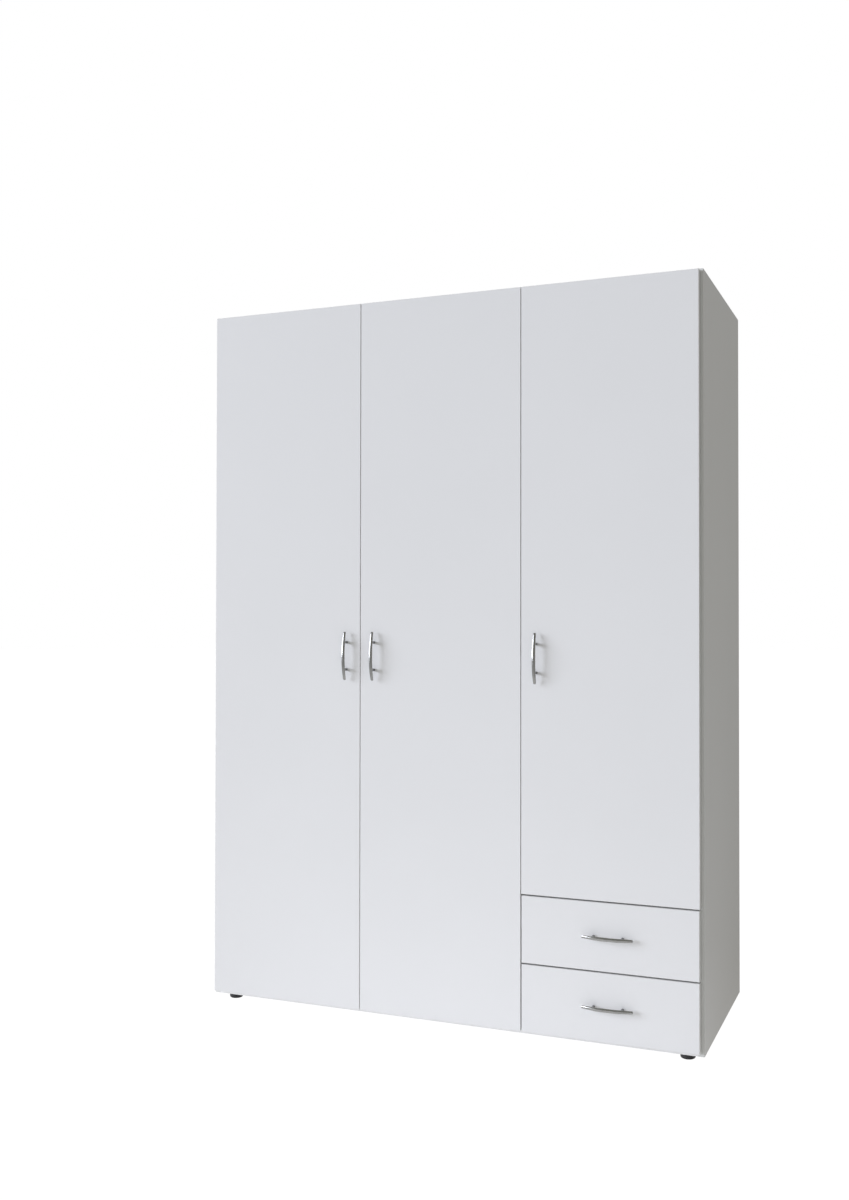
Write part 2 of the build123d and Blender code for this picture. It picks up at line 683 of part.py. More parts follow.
def hinge_cups(name):
    """Pressed steel cups with screw wings, set into the door."""
    side = DOORS[name][2]
    edge = hinge_edge(name)
    with BuildPart() as cups:
        for z in hinge_heights(name):
            centre = (edge - side * CUP_CENTRE, DOOR_REAR, z)
            with BuildSketch(Plane(origin=centre, x_dir=(0, 0, 1), z_dir=(0, 1, 0))):
                Circle(CUP_RADIUS + FLANGE_MARGIN)
                RectangleRounded(WING_LENGTH, WING_WIDTH, WING_WIDTH / 3)
            extrude(amount=CUP_FLANGE)
            rod(centre, (0, -1, 0), CUP_RADIUS - FIT, CUP_DEPTH - FIT)
            mouth = (centre[0], DOOR_REAR + CUP_FLANGE, z)
            rod(mouth, (0, -1, 0), CUP_RADIUS - FIT - CUP_WALL,
                CUP_DEPTH + CUP_FLANGE - FIT - CUP_WALL, Mode.SUBTRACT)
    return cups.part


def door_handle_centre(name):
    """Centre of a door handle, near the edge away from the hinges."""
    left, _, side = DOORS[name]
    free = left if side > 0 else left + DOOR_WIDTH
    return free + side * HANDLE_EDGE, HANDLE_HEIGHT


def drawer_handle_centre(front_z):
    """Centre of a drawer handle, in the middle of the front."""
    return DOORS["right"][0] + DOOR_WIDTH / 2, front_z + DRAWER_FRONT_HEIGHT / 2


def bow_handle(centre, along):
    """Cast bow handle: a curved bar, wider in its middle, on two posts."""
    half = HANDLE_LENGTH / 2
    origin = (centre[0], FRONT, centre[1])
    length_way = Vector(along[0], 0, along[1])
    out = Vector(0, -1, 0)
    face = Plane(origin=origin, x_dir=length_way, z_dir=out)
    profile = Plane(origin=origin, x_dir=length_way, z_dir=length_way.cross(out))
    inner_end = HANDLE_END_RISE - BOW_END_THICKNESS
    inner_middle = HANDLE_RISE - BOW_THICKNESS
    with BuildPart() as handle:
        with BuildSketch(profile):
            with BuildLine():
                ThreePointArc((-half, HANDLE_END_RISE), (0, HANDLE_RISE), (half, HANDLE_END_RISE))
                Line((half, HANDLE_END_RISE), (half, inner_end))
                ThreePointArc((half, inner_end), (0, inner_middle), (-half, inner_end))
                Line((-half, inner_end), (-half, HANDLE_END_RISE))
            make_face()
        extrude(amount=HANDLE_WIDTH, both=True)
        with BuildSketch(face):
            with BuildLine():
                ThreePointArc((-half, -HANDLE_END_WIDTH / 2), (0, -HANDLE_WIDTH / 2),
                              (half, -HANDLE_END_WIDTH / 2))
                Line((half, -HANDLE_END_WIDTH / 2), (half, HANDLE_END_WIDTH / 2))
                ThreePointArc((half, HANDLE_END_WIDTH / 2), (0, HANDLE_WIDTH / 2),
                              (-half, HANDLE_END_WIDTH / 2))
                Line((-half, HANDLE_END_WIDTH / 2), (-half, -HANDLE_END_WIDTH / 2))
            make_face()
        extrude(amount=HANDLE_RISE, mode=Mode.INTERSECT)
        fillet(handle.edges(), BOW_ROUND)
        with BuildSketch(face):
            with GridLocations(HANDLE_SPACING, 0, 2, 1):
                Circle(POST_RADIUS)
        extrude(amount=inner_middle)
        with BuildSketch(face):
            with GridLocations(HANDLE_SPACING, 0, 2, 1):
                Circle(SCREW_RADIUS + AXLE_PLAY)
        extrude(amount=SCREW_BITE + FIT, mode=Mode.SUBTRACT)
    return handle.part


def handle_screws(centre, along):
    """Two screws through the front into the handle's posts."""
    with BuildPart() as screws:
        for x, y, z in handle_points(centre, along):
            rod((x, y - SCREW_BITE, z), (0, 1, 0), SCREW_RADIUS, SCREW_BITE + BOARD)
            rod((x, DOOR_REAR, z), (0, 1, 0), SCREW_HEAD_RADIUS, SCREW_HEAD)
    return screws.part


def build_carcass():
    """Panels, back, feet and fittings that stand still."""
    save(side_panel(-1), "side_panel_left")
    save(side_panel(1), "side_panel_right")
    save(partition_panel(), "partition_panel")
    save(end_board("top_panel", (CEILING, HEIGHT), 1), "top_panel")
    save(end_board("bottom_panel", (FOOT_HEIGHT, FLOOR_TOP), -1), "bottom_panel")
    save(fixed_shelf("hat_shelf", BAY, HAT_SHELF_TOP), "hat_shelf")
    save(fixed_shelf("drawer_shelf", NARROW_BAY, DRAWER_SHELF_TOP), "drawer_shelf")
    for name, top in zip(("shelf_lower", "shelf_middle", "shelf_upper"), SHELF_TOPS):
        save(loose_shelf(top), name)
    save(shelf_pins(), "shelf_pins")
    for name, span in zip(("left", "middle", "right"), sheet_spans()):
        save(back_sheet(span), "back_sheet_" + name)
    save(back_strip(), "back_strip")
    save(back_nails(), "back_nails")
    for row in ("front", "rear", "middle"):
        save(feet(row), "feet_" + row)
    save(cam_locks(), "cam_locks")
    save(cam_bolts(), "cam_bolts")
    save(clothes_rail(), "clothes_rail")
    save(rail_sockets(), "rail_sockets")
    save(hinge_plates(), "hinge_plates")
    save(hinge_arms(), "hinge_arms")
    save(door_bumpers(), "door_bumpers")
    save(runner_rails(), "runner_rails")


def build_doors():
    """Three doors with their cups and handles."""
    for name in DOORS:
        centre = door_handle_centre(name)
        save(door_panel(name), "door_" + name)
        save(hinge_cups(name), "hinge_cups_" + name)
        save(bow_handle(centre, (0, 1)), "handle_" + name)
        save(handle_screws(centre, (0, 1)), "handle_screws_" + name)


def build_drawers():
    """Two drawers with their runners, rollers and handles."""
    for name, front_z in DRAWERS.items():
        centre = drawer_handle_centre(front_z)
        save(drawer_front(front_z), "drawer_front_" + name)
        save(drawer_side(front_z, -1), "drawer_side_left_" + name)
        save(drawer_side(front_z, 1), "drawer_side_right_" + name)
        save(drawer_back(front_z), "drawer_back_" + name)
        save(drawer_floor_board(front_z), "drawer_floor_" + name)
        save(drawer_rails(front_z), "drawer_rails_" + name)
        save(bow_handle(centre, (1, 0)), "handle_" + name)
        save(handle_screws(centre, (1, 0)), "handle_screws_" + name)
        save(rollers(front_z, CARCASS_FRONT + ROLLER_FRONT), "front_rollers_" + name)
        save(rollers(front_z, DOOR_REAR + DRAWER_LENGTH - ROLLER_REAR), "rear_rollers_" + name)


os.makedirs("parts", exist_ok=True)
build_carcass()
build_doors()
build_drawers()
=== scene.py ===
"""Looks of a white three-door wardrobe with two drawers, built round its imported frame.

Every visible piece rides on a body of the frame. Lengths are in metres, doors face -Y, and
places are worked out from the frame's own boxes.
"""

import logging
import math
from abc import ABC, abstractmethod
from collections.abc import Callable
from dataclasses import dataclass
from enum import Enum

import bpy
from mathutils import Matrix, Vector


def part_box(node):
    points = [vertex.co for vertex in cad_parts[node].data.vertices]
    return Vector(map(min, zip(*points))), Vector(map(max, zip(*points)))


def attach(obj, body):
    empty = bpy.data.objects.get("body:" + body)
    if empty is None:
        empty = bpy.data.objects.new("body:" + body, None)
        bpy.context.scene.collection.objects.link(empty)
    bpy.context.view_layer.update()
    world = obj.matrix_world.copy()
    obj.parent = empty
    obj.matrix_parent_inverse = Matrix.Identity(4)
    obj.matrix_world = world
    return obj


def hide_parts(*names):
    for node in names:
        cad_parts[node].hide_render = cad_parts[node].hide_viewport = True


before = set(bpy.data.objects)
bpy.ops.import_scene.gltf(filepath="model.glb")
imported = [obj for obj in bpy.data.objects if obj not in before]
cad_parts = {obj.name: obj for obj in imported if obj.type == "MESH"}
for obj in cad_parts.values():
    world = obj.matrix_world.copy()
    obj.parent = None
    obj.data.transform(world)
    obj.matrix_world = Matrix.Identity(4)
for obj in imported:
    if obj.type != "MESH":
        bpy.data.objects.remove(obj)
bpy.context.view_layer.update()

log = logging.getLogger("wardrobe")

MM = 0.001
SMOOTH_BELOW = math.radians(38.0)
Colour = tuple[float, float, float]
Socket = bpy.types.NodeSocket
Box = tuple[Vector, Vector]
Seat = tuple[Vector, Vector]


class Axis(Enum):
    """The three axes of the frame, by their place in a vector."""

    X = 0
    Y = 1
    Z = 2


class Door(Enum):
    """The doors and the side of each that carries the hinges."""

    LEFT = ("left", -1)
    MIDDLE = ("middle", 1)
    RIGHT = ("right", 1)

    def __init__(self, label: str, side: int) -> None:
        """Keep the door's name and its hinge side, -1 for left and 1 for right."""
        self.label = label
        self.side = side


class Drawer(Enum):
    """The drawers."""

    LOWER = "lower"
    UPPER = "upper"


# --------------------------------------------------------------------------- shader graphs


class Graph:
    """A material under construction: one Principled shader and the nodes that feed it."""

    def __init__(self, name: str) -> None:
        """Start a material.

        Args:
            name: The material's name.
        """
        self.material = bpy.data.materials.new(name)
        self.material.use_nodes = True
        self.tree = self.material.node_tree
        self.tree.nodes.clear()
        output = self.node("ShaderNodeOutputMaterial")
        self.shader = self.node("ShaderNodeBsdfPrincipled")
        self.tree.links.new(self.shader.outputs["BSDF"], output.inputs["Surface"])
        self.place = self.node("ShaderNodeTexCoord").outputs["Object"]
        self.axes = self.node("ShaderNodeSeparateXYZ")
        self.tree.links.new(self.place, self.axes.inputs[0])

    def node(self, kind: str) -> bpy.types.Node:
        """Add a node of a kind."""
        return self.tree.nodes.new(kind)

    def feed(self, socket: Socket, value: "Socket | float | Colour") -> None:
        """Link a socket to another, or set it to a constant.

        Args:
            socket: The input to fill.
            value: Another node's output, a number or a colour.
        """
        if isinstance(value, bpy.types.NodeSocket):
            self.tree.links.new(value, socket)
        elif isinstance(value, tuple) and socket.type == "RGBA":
            socket.default_value = (*value, 1.0)
        else:
            socket.default_value = value

    def set(self, name: str, value: "Socket | float | Colour") -> None:
        """Fill one of the shader's own sockets."""
        self.feed(self.shader.inputs[name], value)

    def math(self, operation: str, *values: "Socket | float") -> Socket:
        """Add a Math node and return its result.

        Args:
            operation: Name of the Math node's operation.
            values: Its inputs, as outputs of other nodes or numbers.

        Returns:
            The result.
        """
        node = self.node("ShaderNodeMath")
        node.operation = operation
        for socket, value in zip(node.inputs, values):
            self.feed(socket, value)
        return node.outputs[0]

    def near(self, axis: Axis, value: float, reach: float) -> Socket:
        """Mask that is 1 where the surface lies within reach of a value on an axis."""
        return self.math("COMPARE", self.axes.outputs[axis.value], value, reach)

    def any_of(self, masks: list[Socket]) -> Socket:
        """Mask that is 1 where any of the masks is.

        Args:
            masks: Masks of 0 and 1.

        Returns:
            The joined mask.
        """
        joined = masks[0]
        for mask in masks[1:]:
            joined = self.math("MAXIMUM", joined, mask)
        return joined

    def stretched(self, scale: Colour) -> Socket:
        """Object coordinates multiplied axis by axis, for grain and brush marks.

        Args:
            scale: Factor on each axis.

        Returns:
            The stretched coordinates.
        """
        mapping = self.node("ShaderNodeMapping")
        self.feed(mapping.inputs["Vector"], self.place)
        mapping.inputs["Scale"].default_value = scale
        return mapping.outputs[0]

    def blend(self, first: Socket, second: Socket, share: float) -> Socket:
        """Weigh two values together.

        Args:
            first: One value.
            second: The other.
            share: The first one's share, from 0 to 1.

        Returns:
            The weighed sum.
        """
        return self.math("ADD", self.math("MULTIPLY", first, share),
                         self.math("MULTIPLY", second, 1.0 - share))

    def noise(self, scale: float, detail: float = 3.0, vector: Socket | None = None) -> Socket:
        """Noise between 0 and 1.

        Args:
            scale: Cells per metre.
            detail: Octaves.
            vector: Coordinates other than the object's own.

        Returns:
            The noise value.
        """
        node = self.node("ShaderNodeTexNoise")
        self.feed(node.inputs["Vector"], vector or self.place)
        node.inputs["Scale"].default_value = scale
        node.inputs["Detail"].default_value = detail
        return node.outputs["Fac"]

    def brushed(self, scale: float, detail: float, along: Axis, stretch: float) -> Socket:
        """Noise drawn out along one axis, as brush marks and scratches are.

        Args:
            scale: Cells per metre across the marks.
            detail: Octaves.
            along: Axis of the marks.
            stretch: Cells along that axis, as a share of those across.

        Returns:
            The noise value.
        """
        scales = [1.0, 1.0, 1.0]
        scales[along.value] = stretch
        return self.noise(scale, detail, self.stretched(tuple(scales)))

    def cells(self, scale: float, vector: Socket | None = None) -> tuple[Socket, Socket]:
        """Voronoi cells: the distance to the nearest one and its random colour.

        Args:
            scale: Cells per metre.
            vector: Coordinates other than the object's own.

        Returns:
            The distance and the colour.
        """
        node = self.node("ShaderNodeTexVoronoi")
        self.feed(node.inputs["Vector"], vector or self.place)
        node.inputs["Scale"].default_value = scale
        return node.outputs["Distance"], node.outputs["Color"]

    def ramp(self, factor: Socket, *stops: tuple[float, Colour]) -> Socket:
        """Colour ramp through stops of a place and a colour.

        Args:
            factor: Value from 0 to 1 that picks the colour.
            stops: Place and colour of each stop, in order.

        Returns:
            The colour.
        """
        node = self.node("ShaderNodeValToRGB")
        self.feed(node.inputs[0], factor)
        points = node.color_ramp.elements
        while len(points) < len(stops):
            points.new(0.5)
        for point, (place, colour) in zip(points, stops):
            point.position = place
            point.color = (*colour, 1.0)
        return node.outputs[0]

    def span(self, factor: Socket, low: float, high: float) -> Socket:
        """Stretch a value that runs from 0 to 1 so that it runs from low to high.

        Args:
            factor: The value.
            low: Result where it is 0.
            high: Result where it is 1.

        Returns:
            The stretched value.
        """
        node = self.node("ShaderNodeMapRange")
        self.feed(node.inputs["Value"], factor)
        node.inputs["To Min"].default_value = low
        node.inputs["To Max"].default_value = high
        return node.outputs[0]

    def mix(self, factor: Socket, first: "Socket | Colour", second: "Socket | Colour") -> Socket:
        """Blend two colours.

        Args:
            factor: Share of the second colour.
            first: Colour where the factor is 0.
            second: Colour where it is 1.

        Returns:
            The blended colour.
        """
        node = self.node("ShaderNodeMix")
        node.data_type = "RGBA"
        inputs = [s for s in node.inputs if s.type == "RGBA"]
        self.feed(node.inputs[0], factor)
        self.feed(inputs[0], first)
        self.feed(inputs[1], second)
        return next(s for s in node.outputs if s.type == "RGBA")

    def bump(self, height: Socket, depth: float, strength: float = 1.0) -> None:
        """Emboss the shader's normal on top of any embossing there already.

        Args:
            height: Heights from 0 to 1.
            depth: Height of the relief in metres.
            strength: Share of the relief that shows.
        """
        node = self.node("ShaderNodeBump")
        node.inputs["Distance"].default_value = depth
        node.inputs["Strength"].default_value = strength
        self.feed(node.inputs["Height"], height)
        normal = self.shader.inputs["Normal"]
        if normal.is_linked:
            self.feed(node.inputs["Normal"], normal.links[0].from_socket)
        self.feed(normal, node.outputs[0])


# -------------------------------------------------------------------------------- finishes


class Finish(ABC):
    """A finish that can make its own material."""

    @abstractmethod
    def paint(self, graph: Graph) -> None:
        """Fill the shader of a graph.

        Args:
            graph: The material under construction.
        """

    def material(self, name: str) -> bpy.types.Material:
        """Make the finish's material under a name.

        Args:
            name: The material's name.

        Returns:
            The material.
        """
        graph = Graph(name)
        self.paint(graph)
        return graph.material


def chipboard(graph: Graph) -> Socket:
    """Colour of a sawn chipboard edge: pressed flakes in several browns.

    Args:
        graph: The material under construction.

    Returns:
        The colour.
    """
    _, flakes = graph.cells(900.0)
    grain = graph.noise(320.0, 4.0)
    tone = graph.blend(flakes, grain, 0.6)
    return graph.ramp(tone, (0.15, (0.16, 0.09, 0.045)), (0.5, (0.42, 0.28, 0.16)),
                      (0.85, (0.66, 0.5, 0.32)))


@dataclass(frozen=True)
class Melamine(Finish):
    """White melamine on a chipboard core, with banded edges."""

    low: Vector
    high: Vector
    banded: tuple[tuple[Axis, bool], ...] = ()
    white: Colour = (0.785, 0.785, 0.8)
    band: Colour = (0.8, 0.8, 0.805)
    # Painted shade: a darker top edge, standing for the shade in the gap above a drawer front.
    top_painted_shade: Colour | None = None
    band_depth: float = 1.1 * MM
    glue_line: Colour = (0.45, 0.45, 0.44)
    gloss: tuple[float, float] = (0.5, 0.6)
    core_roughness: float = 0.85
    pearl: float = 0.06 * MM
    waviness: float = 0.4 * MM

    def thin(self) -> Axis:
        """The axis across the board's thickness."""
        sizes = self.high - self.low
        return min(Axis, key=lambda axis: sizes[axis.value])

    def paint(self, graph: Graph) -> None:
        """Melamine faces with a fine pearl, banded edges, and bare core elsewhere.

        Args:
            graph: The material under construction.
        """
        thin = self.thin().value
        faces = [graph.near(Axis(thin), end[thin], 0.2 * MM) for end in (self.low, self.high)]
        face = graph.any_of(faces)
        clouds = graph.span(graph.noise(2.2, 2.0), 0.975, 1.02)
        flecks = graph.span(graph.noise(1400.0, 2.0), 0.985, 1.015)
        white = graph.node("ShaderNodeVectorMath")
        white.operation = "SCALE"
        white.inputs[0].default_value = self.white
        graph.feed(white.inputs["Scale"], graph.math("MULTIPLY", clouds, flecks))
        colour = white.outputs[0]
        edges = []
        seams = []
        for axis, at_high in self.banded:
            end = (self.high if at_high else self.low)[axis.value]
            inward = -1 if at_high else 1
            edges.append(graph.near(axis, end, self.band_depth))
            seams.append(graph.near(axis, end + inward * 1.4 * MM, 0.15 * MM))
        if edges:
            band = graph.any_of(edges)
            seam = graph.math("MULTIPLY", graph.any_of(seams), face)
            colour = graph.mix(graph.math("MULTIPLY", seam, 0.25), colour, self.glue_line)
            colour = graph.mix(band, colour, self.band)
            # Painted shade on the top edge, for the shade in the gap above it.
            if self.top_painted_shade is not None:
                top = graph.near(Axis.Z, self.high.z, self.band_depth)
                colour = graph.mix(top, colour, self.top_painted_shade)
            covered = graph.math("MAXIMUM", face, band)
        else:
            covered = face
        graph.set("Base Color", graph.mix(covered, chipboard(graph), colour))
        smooth = graph.span(graph.noise(9.0, 3.0), *self.gloss)
        rough = graph.node("ShaderNodeMix")
        graph.feed(rough.inputs[0], covered)
        rough.inputs[2].default_value = self.core_roughness
        graph.feed(rough.inputs[3], smooth)
        graph.set("Roughness", rough.outputs[0])
        graph.set("Specular IOR Level", 0.3)
        graph.bump(graph.noise(1100.0, 3.0), self.pearl, 0.5)
        graph.bump(graph.noise(6.0, 2.0), self.waviness, 0.35)


@dataclass(frozen=True)
class Hardboard(Finish):
    """Thin fibreboard, lacquered white on one side and bare on the other."""

    across: Axis
    lacquered_at: float
    fibre_scale: float = 420.0
    patch_scale: float = 14.0
    dark_fibre: Colour = (0.2, 0.115, 0.055)
    fibre: Colour = (0.33, 0.2, 0.105)
    pale_fibre: Colour = (0.46, 0.3, 0.17)
    lacquer: tuple[Colour, Colour] = ((0.74, 0.74, 0.735), (0.79, 0.79, 0.785))
    relief: float = 0.15 * MM

    def paint(self, graph: Graph) -> None:
        """White lacquer in front, brown pressed fibres behind and on the edges.

        Args:
            graph: The material under construction.
        """
        fibres = graph.brushed(self.fibre_scale, 5.0, Axis.Z, 0.25)
        patches = graph.noise(self.patch_scale, 3.0)
        tone = graph.blend(fibres, patches, 0.7)
        brown = graph.ramp(tone, (0.25, self.dark_fibre), (0.5, self.fibre),
                           (0.8, self.pale_fibre))
        lacquer = graph.ramp(graph.noise(700.0, 2.0), (0.3, self.lacquer[0]),
                             (0.7, self.lacquer[1]))
        front = graph.near(self.across, self.lacquered_at, 0.25 * MM)
        graph.set("Base Color", graph.mix(front, brown, lacquer))
        graph.set("Roughness", graph.span(patches, 0.55, 0.75))
        graph.bump(graph.noise(600.0, 4.0), self.relief, 0.6)


@dataclass(frozen=True)
class SatinNickel(Finish):
    """Cast metal with a satin plate, brushed along one axis, with painted shade at its foot."""

    along: Axis
    seat: float
    tint: Colour = (0.4, 0.4, 0.395)
    # Painted shade: the dark colour the posts take near the front they stand on.
    foot: Colour = (0.2, 0.2, 0.2)
    post_shade_rise: tuple[float, float] = (9.0 * MM, 15.0 * MM)
    roughness: float = 0.2
    brush_scale: float = 5200.0
    brush_depth: float = 0.02 * MM

    def paint(self, graph: Graph) -> None:
        """Metal with long brush marks, an uneven sheen and painted shade darkening its foot.

        Args:
            graph: The material under construction.
        """
        marks = graph.brushed(self.brush_scale, 3.0, self.along, 0.04)
        patches = graph.noise(60.0, 3.0)
        dark = tuple(channel * 0.86 for channel in self.tint)
        unshaded_plate = graph.ramp(patches, (0.3, dark), (0.7, self.tint))
        # Painted shade: the plate fades to the dark foot colour close to the front.
        rise = graph.node("ShaderNodeMapRange")
        rise.interpolation_type = "SMOOTHSTEP"
        rise.inputs["From Min"].default_value = self.seat - self.post_shade_rise[0]
        rise.inputs["From Max"].default_value = self.seat - self.post_shade_rise[1]
        graph.feed(rise.inputs["Value"], graph.axes.outputs[Axis.Y.value])
        graph.set("Base Color", graph.mix(rise.outputs[0], self.foot, unshaded_plate))
        graph.set("Metallic", 1.0)
        tone = graph.blend(marks, patches, 0.7)
        graph.set("Roughness", graph.span(tone, self.roughness - 0.07, self.roughness + 0.1))
        graph.bump(marks, self.brush_depth, 0.35)


@dataclass(frozen=True)
class PlatedSteel(Finish):
    """Pressed or turned steel with a bright plate."""

    tint: Colour = (0.62, 0.63, 0.64)
    roughness: float = 0.3
    tarnish: Colour = (0.52, 0.52, 0.51)
    along: Axis = Axis.Z
    scratch_scale: float = 2600.0
    scratch_depth: float = 0.02 * MM

    def paint(self, graph: Graph) -> None:
        """Metal with faint cloudy tarnish and fine scratches.

        Args:
            graph: The material under construction.
        """
        clouds = graph.noise(45.0, 4.0)
        scratches = graph.brushed(self.scratch_scale, 2.0, self.along, 0.03)
        graph.set("Base Color", graph.ramp(clouds, (0.3, self.tarnish), (0.7, self.tint)))
        graph.set("Metallic", 1.0)
        graph.set("Roughness", graph.span(scratches, self.roughness - 0.08, self.roughness + 0.12))
        graph.bump(scratches, self.scratch_depth, 0.4)


@dataclass(frozen=True)
class PowderCoat(Finish):
    """Steel under a sprayed coat with a fine orange peel."""

    tint: Colour = (0.76, 0.76, 0.745)
    peel_scale: float = 1500.0
    peel_depth: float = 0.08 * MM
    gloss: tuple[float, float] = (0.34, 0.5)

    def paint(self, graph: Graph) -> None:
        """Soft gloss with an uneven skin.

        Args:
            graph: The material under construction.
        """
        peel = graph.noise(self.peel_scale, 3.0)
        worn = tuple(channel * 0.93 for channel in self.tint)
        graph.set("Base Color", graph.ramp(graph.noise(25.0, 3.0), (0.3, worn), (0.7, self.tint)))
        graph.set("Roughness", graph.span(peel, *self.gloss))
        graph.bump(peel, self.peel_depth, 0.6)


@dataclass(frozen=True)
class Moulded(Finish):
    """Moulded plastic with a fine spark-eroded skin."""

    tint: Colour
    roughness: float = 0.5
    grain: float = 0.07 * MM
    grain_scale: float = 2200.0

    def paint(self, graph: Graph) -> None:
        """Plain plastic, slightly mottled, with a matt grain.

        Args:
            graph: The material under construction.
        """
        grain = graph.noise(self.grain_scale, 2.0)
        worn = tuple(min(1.0, channel * 1.05 + 0.004) for channel in self.tint)
        graph.set("Base Color", graph.ramp(graph.noise(90.0, 4.0), (0.35, self.tint), (0.75, worn)))
        graph.set("Roughness", graph.span(grain, self.roughness - 0.08, self.roughness + 0.1))
        graph.bump(grain, self.grain, 0.6)


@dataclass(frozen=True)
class ClearPad(Finish):
    """Clear soft pad."""

    cloudy: Colour = (0.72, 0.74, 0.75)
    clear: Colour = (0.86, 0.87, 0.88)
    see_through: float = 0.6
    ior: float = 1.45

    def paint(self, graph: Graph) -> None:
        """Slightly cloudy clear rubber.

        Args:
            graph: The material under construction.
        """
        graph.set("Base Color", graph.ramp(graph.noise(800.0, 2.0), (0.3, self.cloudy),
                                           (0.7, self.clear)))
        graph.set("Roughness", graph.span(graph.noise(500.0, 2.0), 0.15, 0.3))
        graph.set("Transmission Weight", self.see_through)
        graph.set("IOR", self.ior)


def dress(node: str, material: bpy.types.Material, slot: str) -> None:
    """Give a frame node its material.

    Args:
        node: The node's name.
        material: The finish.
        slot: The record's material slot, for the log.
    """
    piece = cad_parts[node]
    piece.data.materials.clear()
    piece.data.materials.append(material)
    log.info("%s finished as %s", node, slot)


# ------------------------------------------------------------------------------- modelling


class Workpiece:
    """A piece shaped with the modelling operators. Its place is kept in its mesh."""

    def __init__(self, thing: bpy.types.Object) -> None:
        """Take over an object.

        Args:
            thing: The mesh object to shape.
        """
        self.thing = thing

    @staticmethod
    def alone() -> None:
        """Leave edit mode and deselect everything."""
        if bpy.context.object is not None and bpy.context.object.mode != "OBJECT":
            bpy.ops.object.mode_set(mode="OBJECT")
        bpy.ops.object.select_all(action="DESELECT")

    @classmethod
    def added(cls, name: str) -> "Workpiece":
        """Take the primitive just added and put its place into its mesh.

        Args:
            name: The piece's name.

        Returns:
            The piece.
        """
        thing = bpy.context.object
        thing.name = name
        bpy.ops.object.transform_apply(location=True, rotation=True, scale=True)
        return cls(thing)

    @classmethod
    def block(cls, name: str, low: Vector, high: Vector) -> "Workpiece":
        """Start from a block between two corners.

        Args:
            name: The piece's name.
            low: Lowest corner.
            high: Highest corner.

        Returns:
            The block.
        """
        cls.alone()
        bpy.ops.mesh.primitive_cube_add(size=1.0, location=(low + high) / 2, scale=high - low)
        return cls.added(name)

    @classmethod
    def turned(cls, name: str, rings: list[tuple[float, float]], sides: int = 48) -> "Workpiece":
        """Turn a piece about the Z axis, ring after ring.

        Args:
            name: The piece's name.
            rings: Radius and height of each ring, in order along the profile.
            sides: Flats round the piece.

        Returns:
            The closed turned piece.
        """
        cls.alone()
        radius, height = rings[0]
        bpy.ops.mesh.primitive_circle_add(vertices=sides, radius=radius, fill_type="NGON",
                                          location=(0.0, 0.0, height))
        piece = cls.added(name)
        piece.edit()
        bpy.ops.mesh.select_all(action="SELECT")
        for next_radius, next_height in rings[1:]:
            bpy.ops.mesh.extrude_region_move(
                TRANSFORM_OT_translate={"value": (0.0, 0.0, next_height - height)})
            grow = next_radius / radius
            bpy.ops.transform.resize(value=(grow, grow, 1.0),
                                     center_override=(0.0, 0.0, next_height))
            radius, height = next_radius, next_height
        return piece.tidied()

    def hold(self) -> None:
        """Select this piece alone and make it the active one."""
        self.alone()
        self.thing.select_set(True)
        bpy.context.view_layer.objects.active = self.thing

    def edit(self, faces: bool = True) -> None:
        """Open the piece in edit mode.

        Args:
            faces: Choose faces from now on, or else edges.
        """
        self.hold()
        bpy.context.tool_settings.mesh_select_mode = (False, not faces, faces)
        bpy.ops.object.mode_set(mode="EDIT")

    def pick_faces(self, test: Callable[[Vector, Vector], bool]) -> None:
        """Select the faces whose centre and normal pass a test, ready for an operator.

        Args:
            test: Takes a face's centre and normal, and tells whether it is chosen.
        """
        self.alone()
        mesh = self.thing.data
        for elements in (mesh.vertices, mesh.edges):
            for element in elements:
                element.select = False
        for face in mesh.polygons:
            face.select = test(face.center, face.normal)
        self.edit()

    def pick_edges(self, test: Callable[[Vector, Vector], bool]) -> None:
        """Select the edges whose middle and direction pass a test, ready for an operator.

        Args:
            test: Takes an edge's middle and direction, and tells whether it is chosen.
        """
        self.alone()
        mesh = self.thing.data
        for elements in (mesh.vertices, mesh.polygons):
            for element in elements:
                element.select = False
        for edge in mesh.edges:
            one, two = (mesh.vertices[index].co for index in edge.vertices)
            edge.select = test((one + two) / 2, (two - one).normalized())
        self.edit(faces=False)

    def bevel(self, width: float, segments: int = 3) -> None:
        """Round the selected edges."""
        bpy.ops.mesh.bevel(offset=width, segments=segments, affect="EDGES")
        self.alone()

    def pull(self, step: Vector) -> None:
        """Extrude the selected faces by a step."""
        bpy.ops.mesh.extrude_region_move(TRANSFORM_OT_translate={"value": step})

    def tidied(self) -> "Workpiece":
        """Merge doubled points and turn every face outwards.

        Returns:
            This piece.
        """
        self.edit()
        bpy.ops.mesh.select_all(action="SELECT")
        bpy.ops.mesh.remove_doubles(threshold=0.002 * MM)
        bpy.ops.mesh.normals_make_consistent(inside=False)
        self.alone()
        return self

    def boolean(self, other: "Workpiece", operation: str) -> "Workpiece":
        """Join or cut with another piece, which is used up.

        Args:
            other: The second piece.
            operation: UNION or DIFFERENCE.

        Returns:
            This piece.
        """
        self.hold()
        modifier = self.thing.modifiers.new("fit", "BOOLEAN")
        modifier.object = other.thing
        modifier.operation = operation
        modifier.solver = "EXACT"
        bpy.ops.object.modifier_apply(modifier=modifier.name)
        other.discard()
        return self

    def copy(self, name: str, place: Matrix) -> "Workpiece":
        """Copy the piece, with a mesh of its own, to a place.

        Args:
            name: The copy's name.
            place: Matrix that takes the model to its place.

        Returns:
            The copy.
        """
        mesh = self.thing.data.copy()
        mesh.transform(place)
        if place.determinant() < 0.0:
            mesh.flip_normals()
        thing = bpy.data.objects.new(name, mesh)
        bpy.context.scene.collection.objects.link(thing)
        return Workpiece(thing)

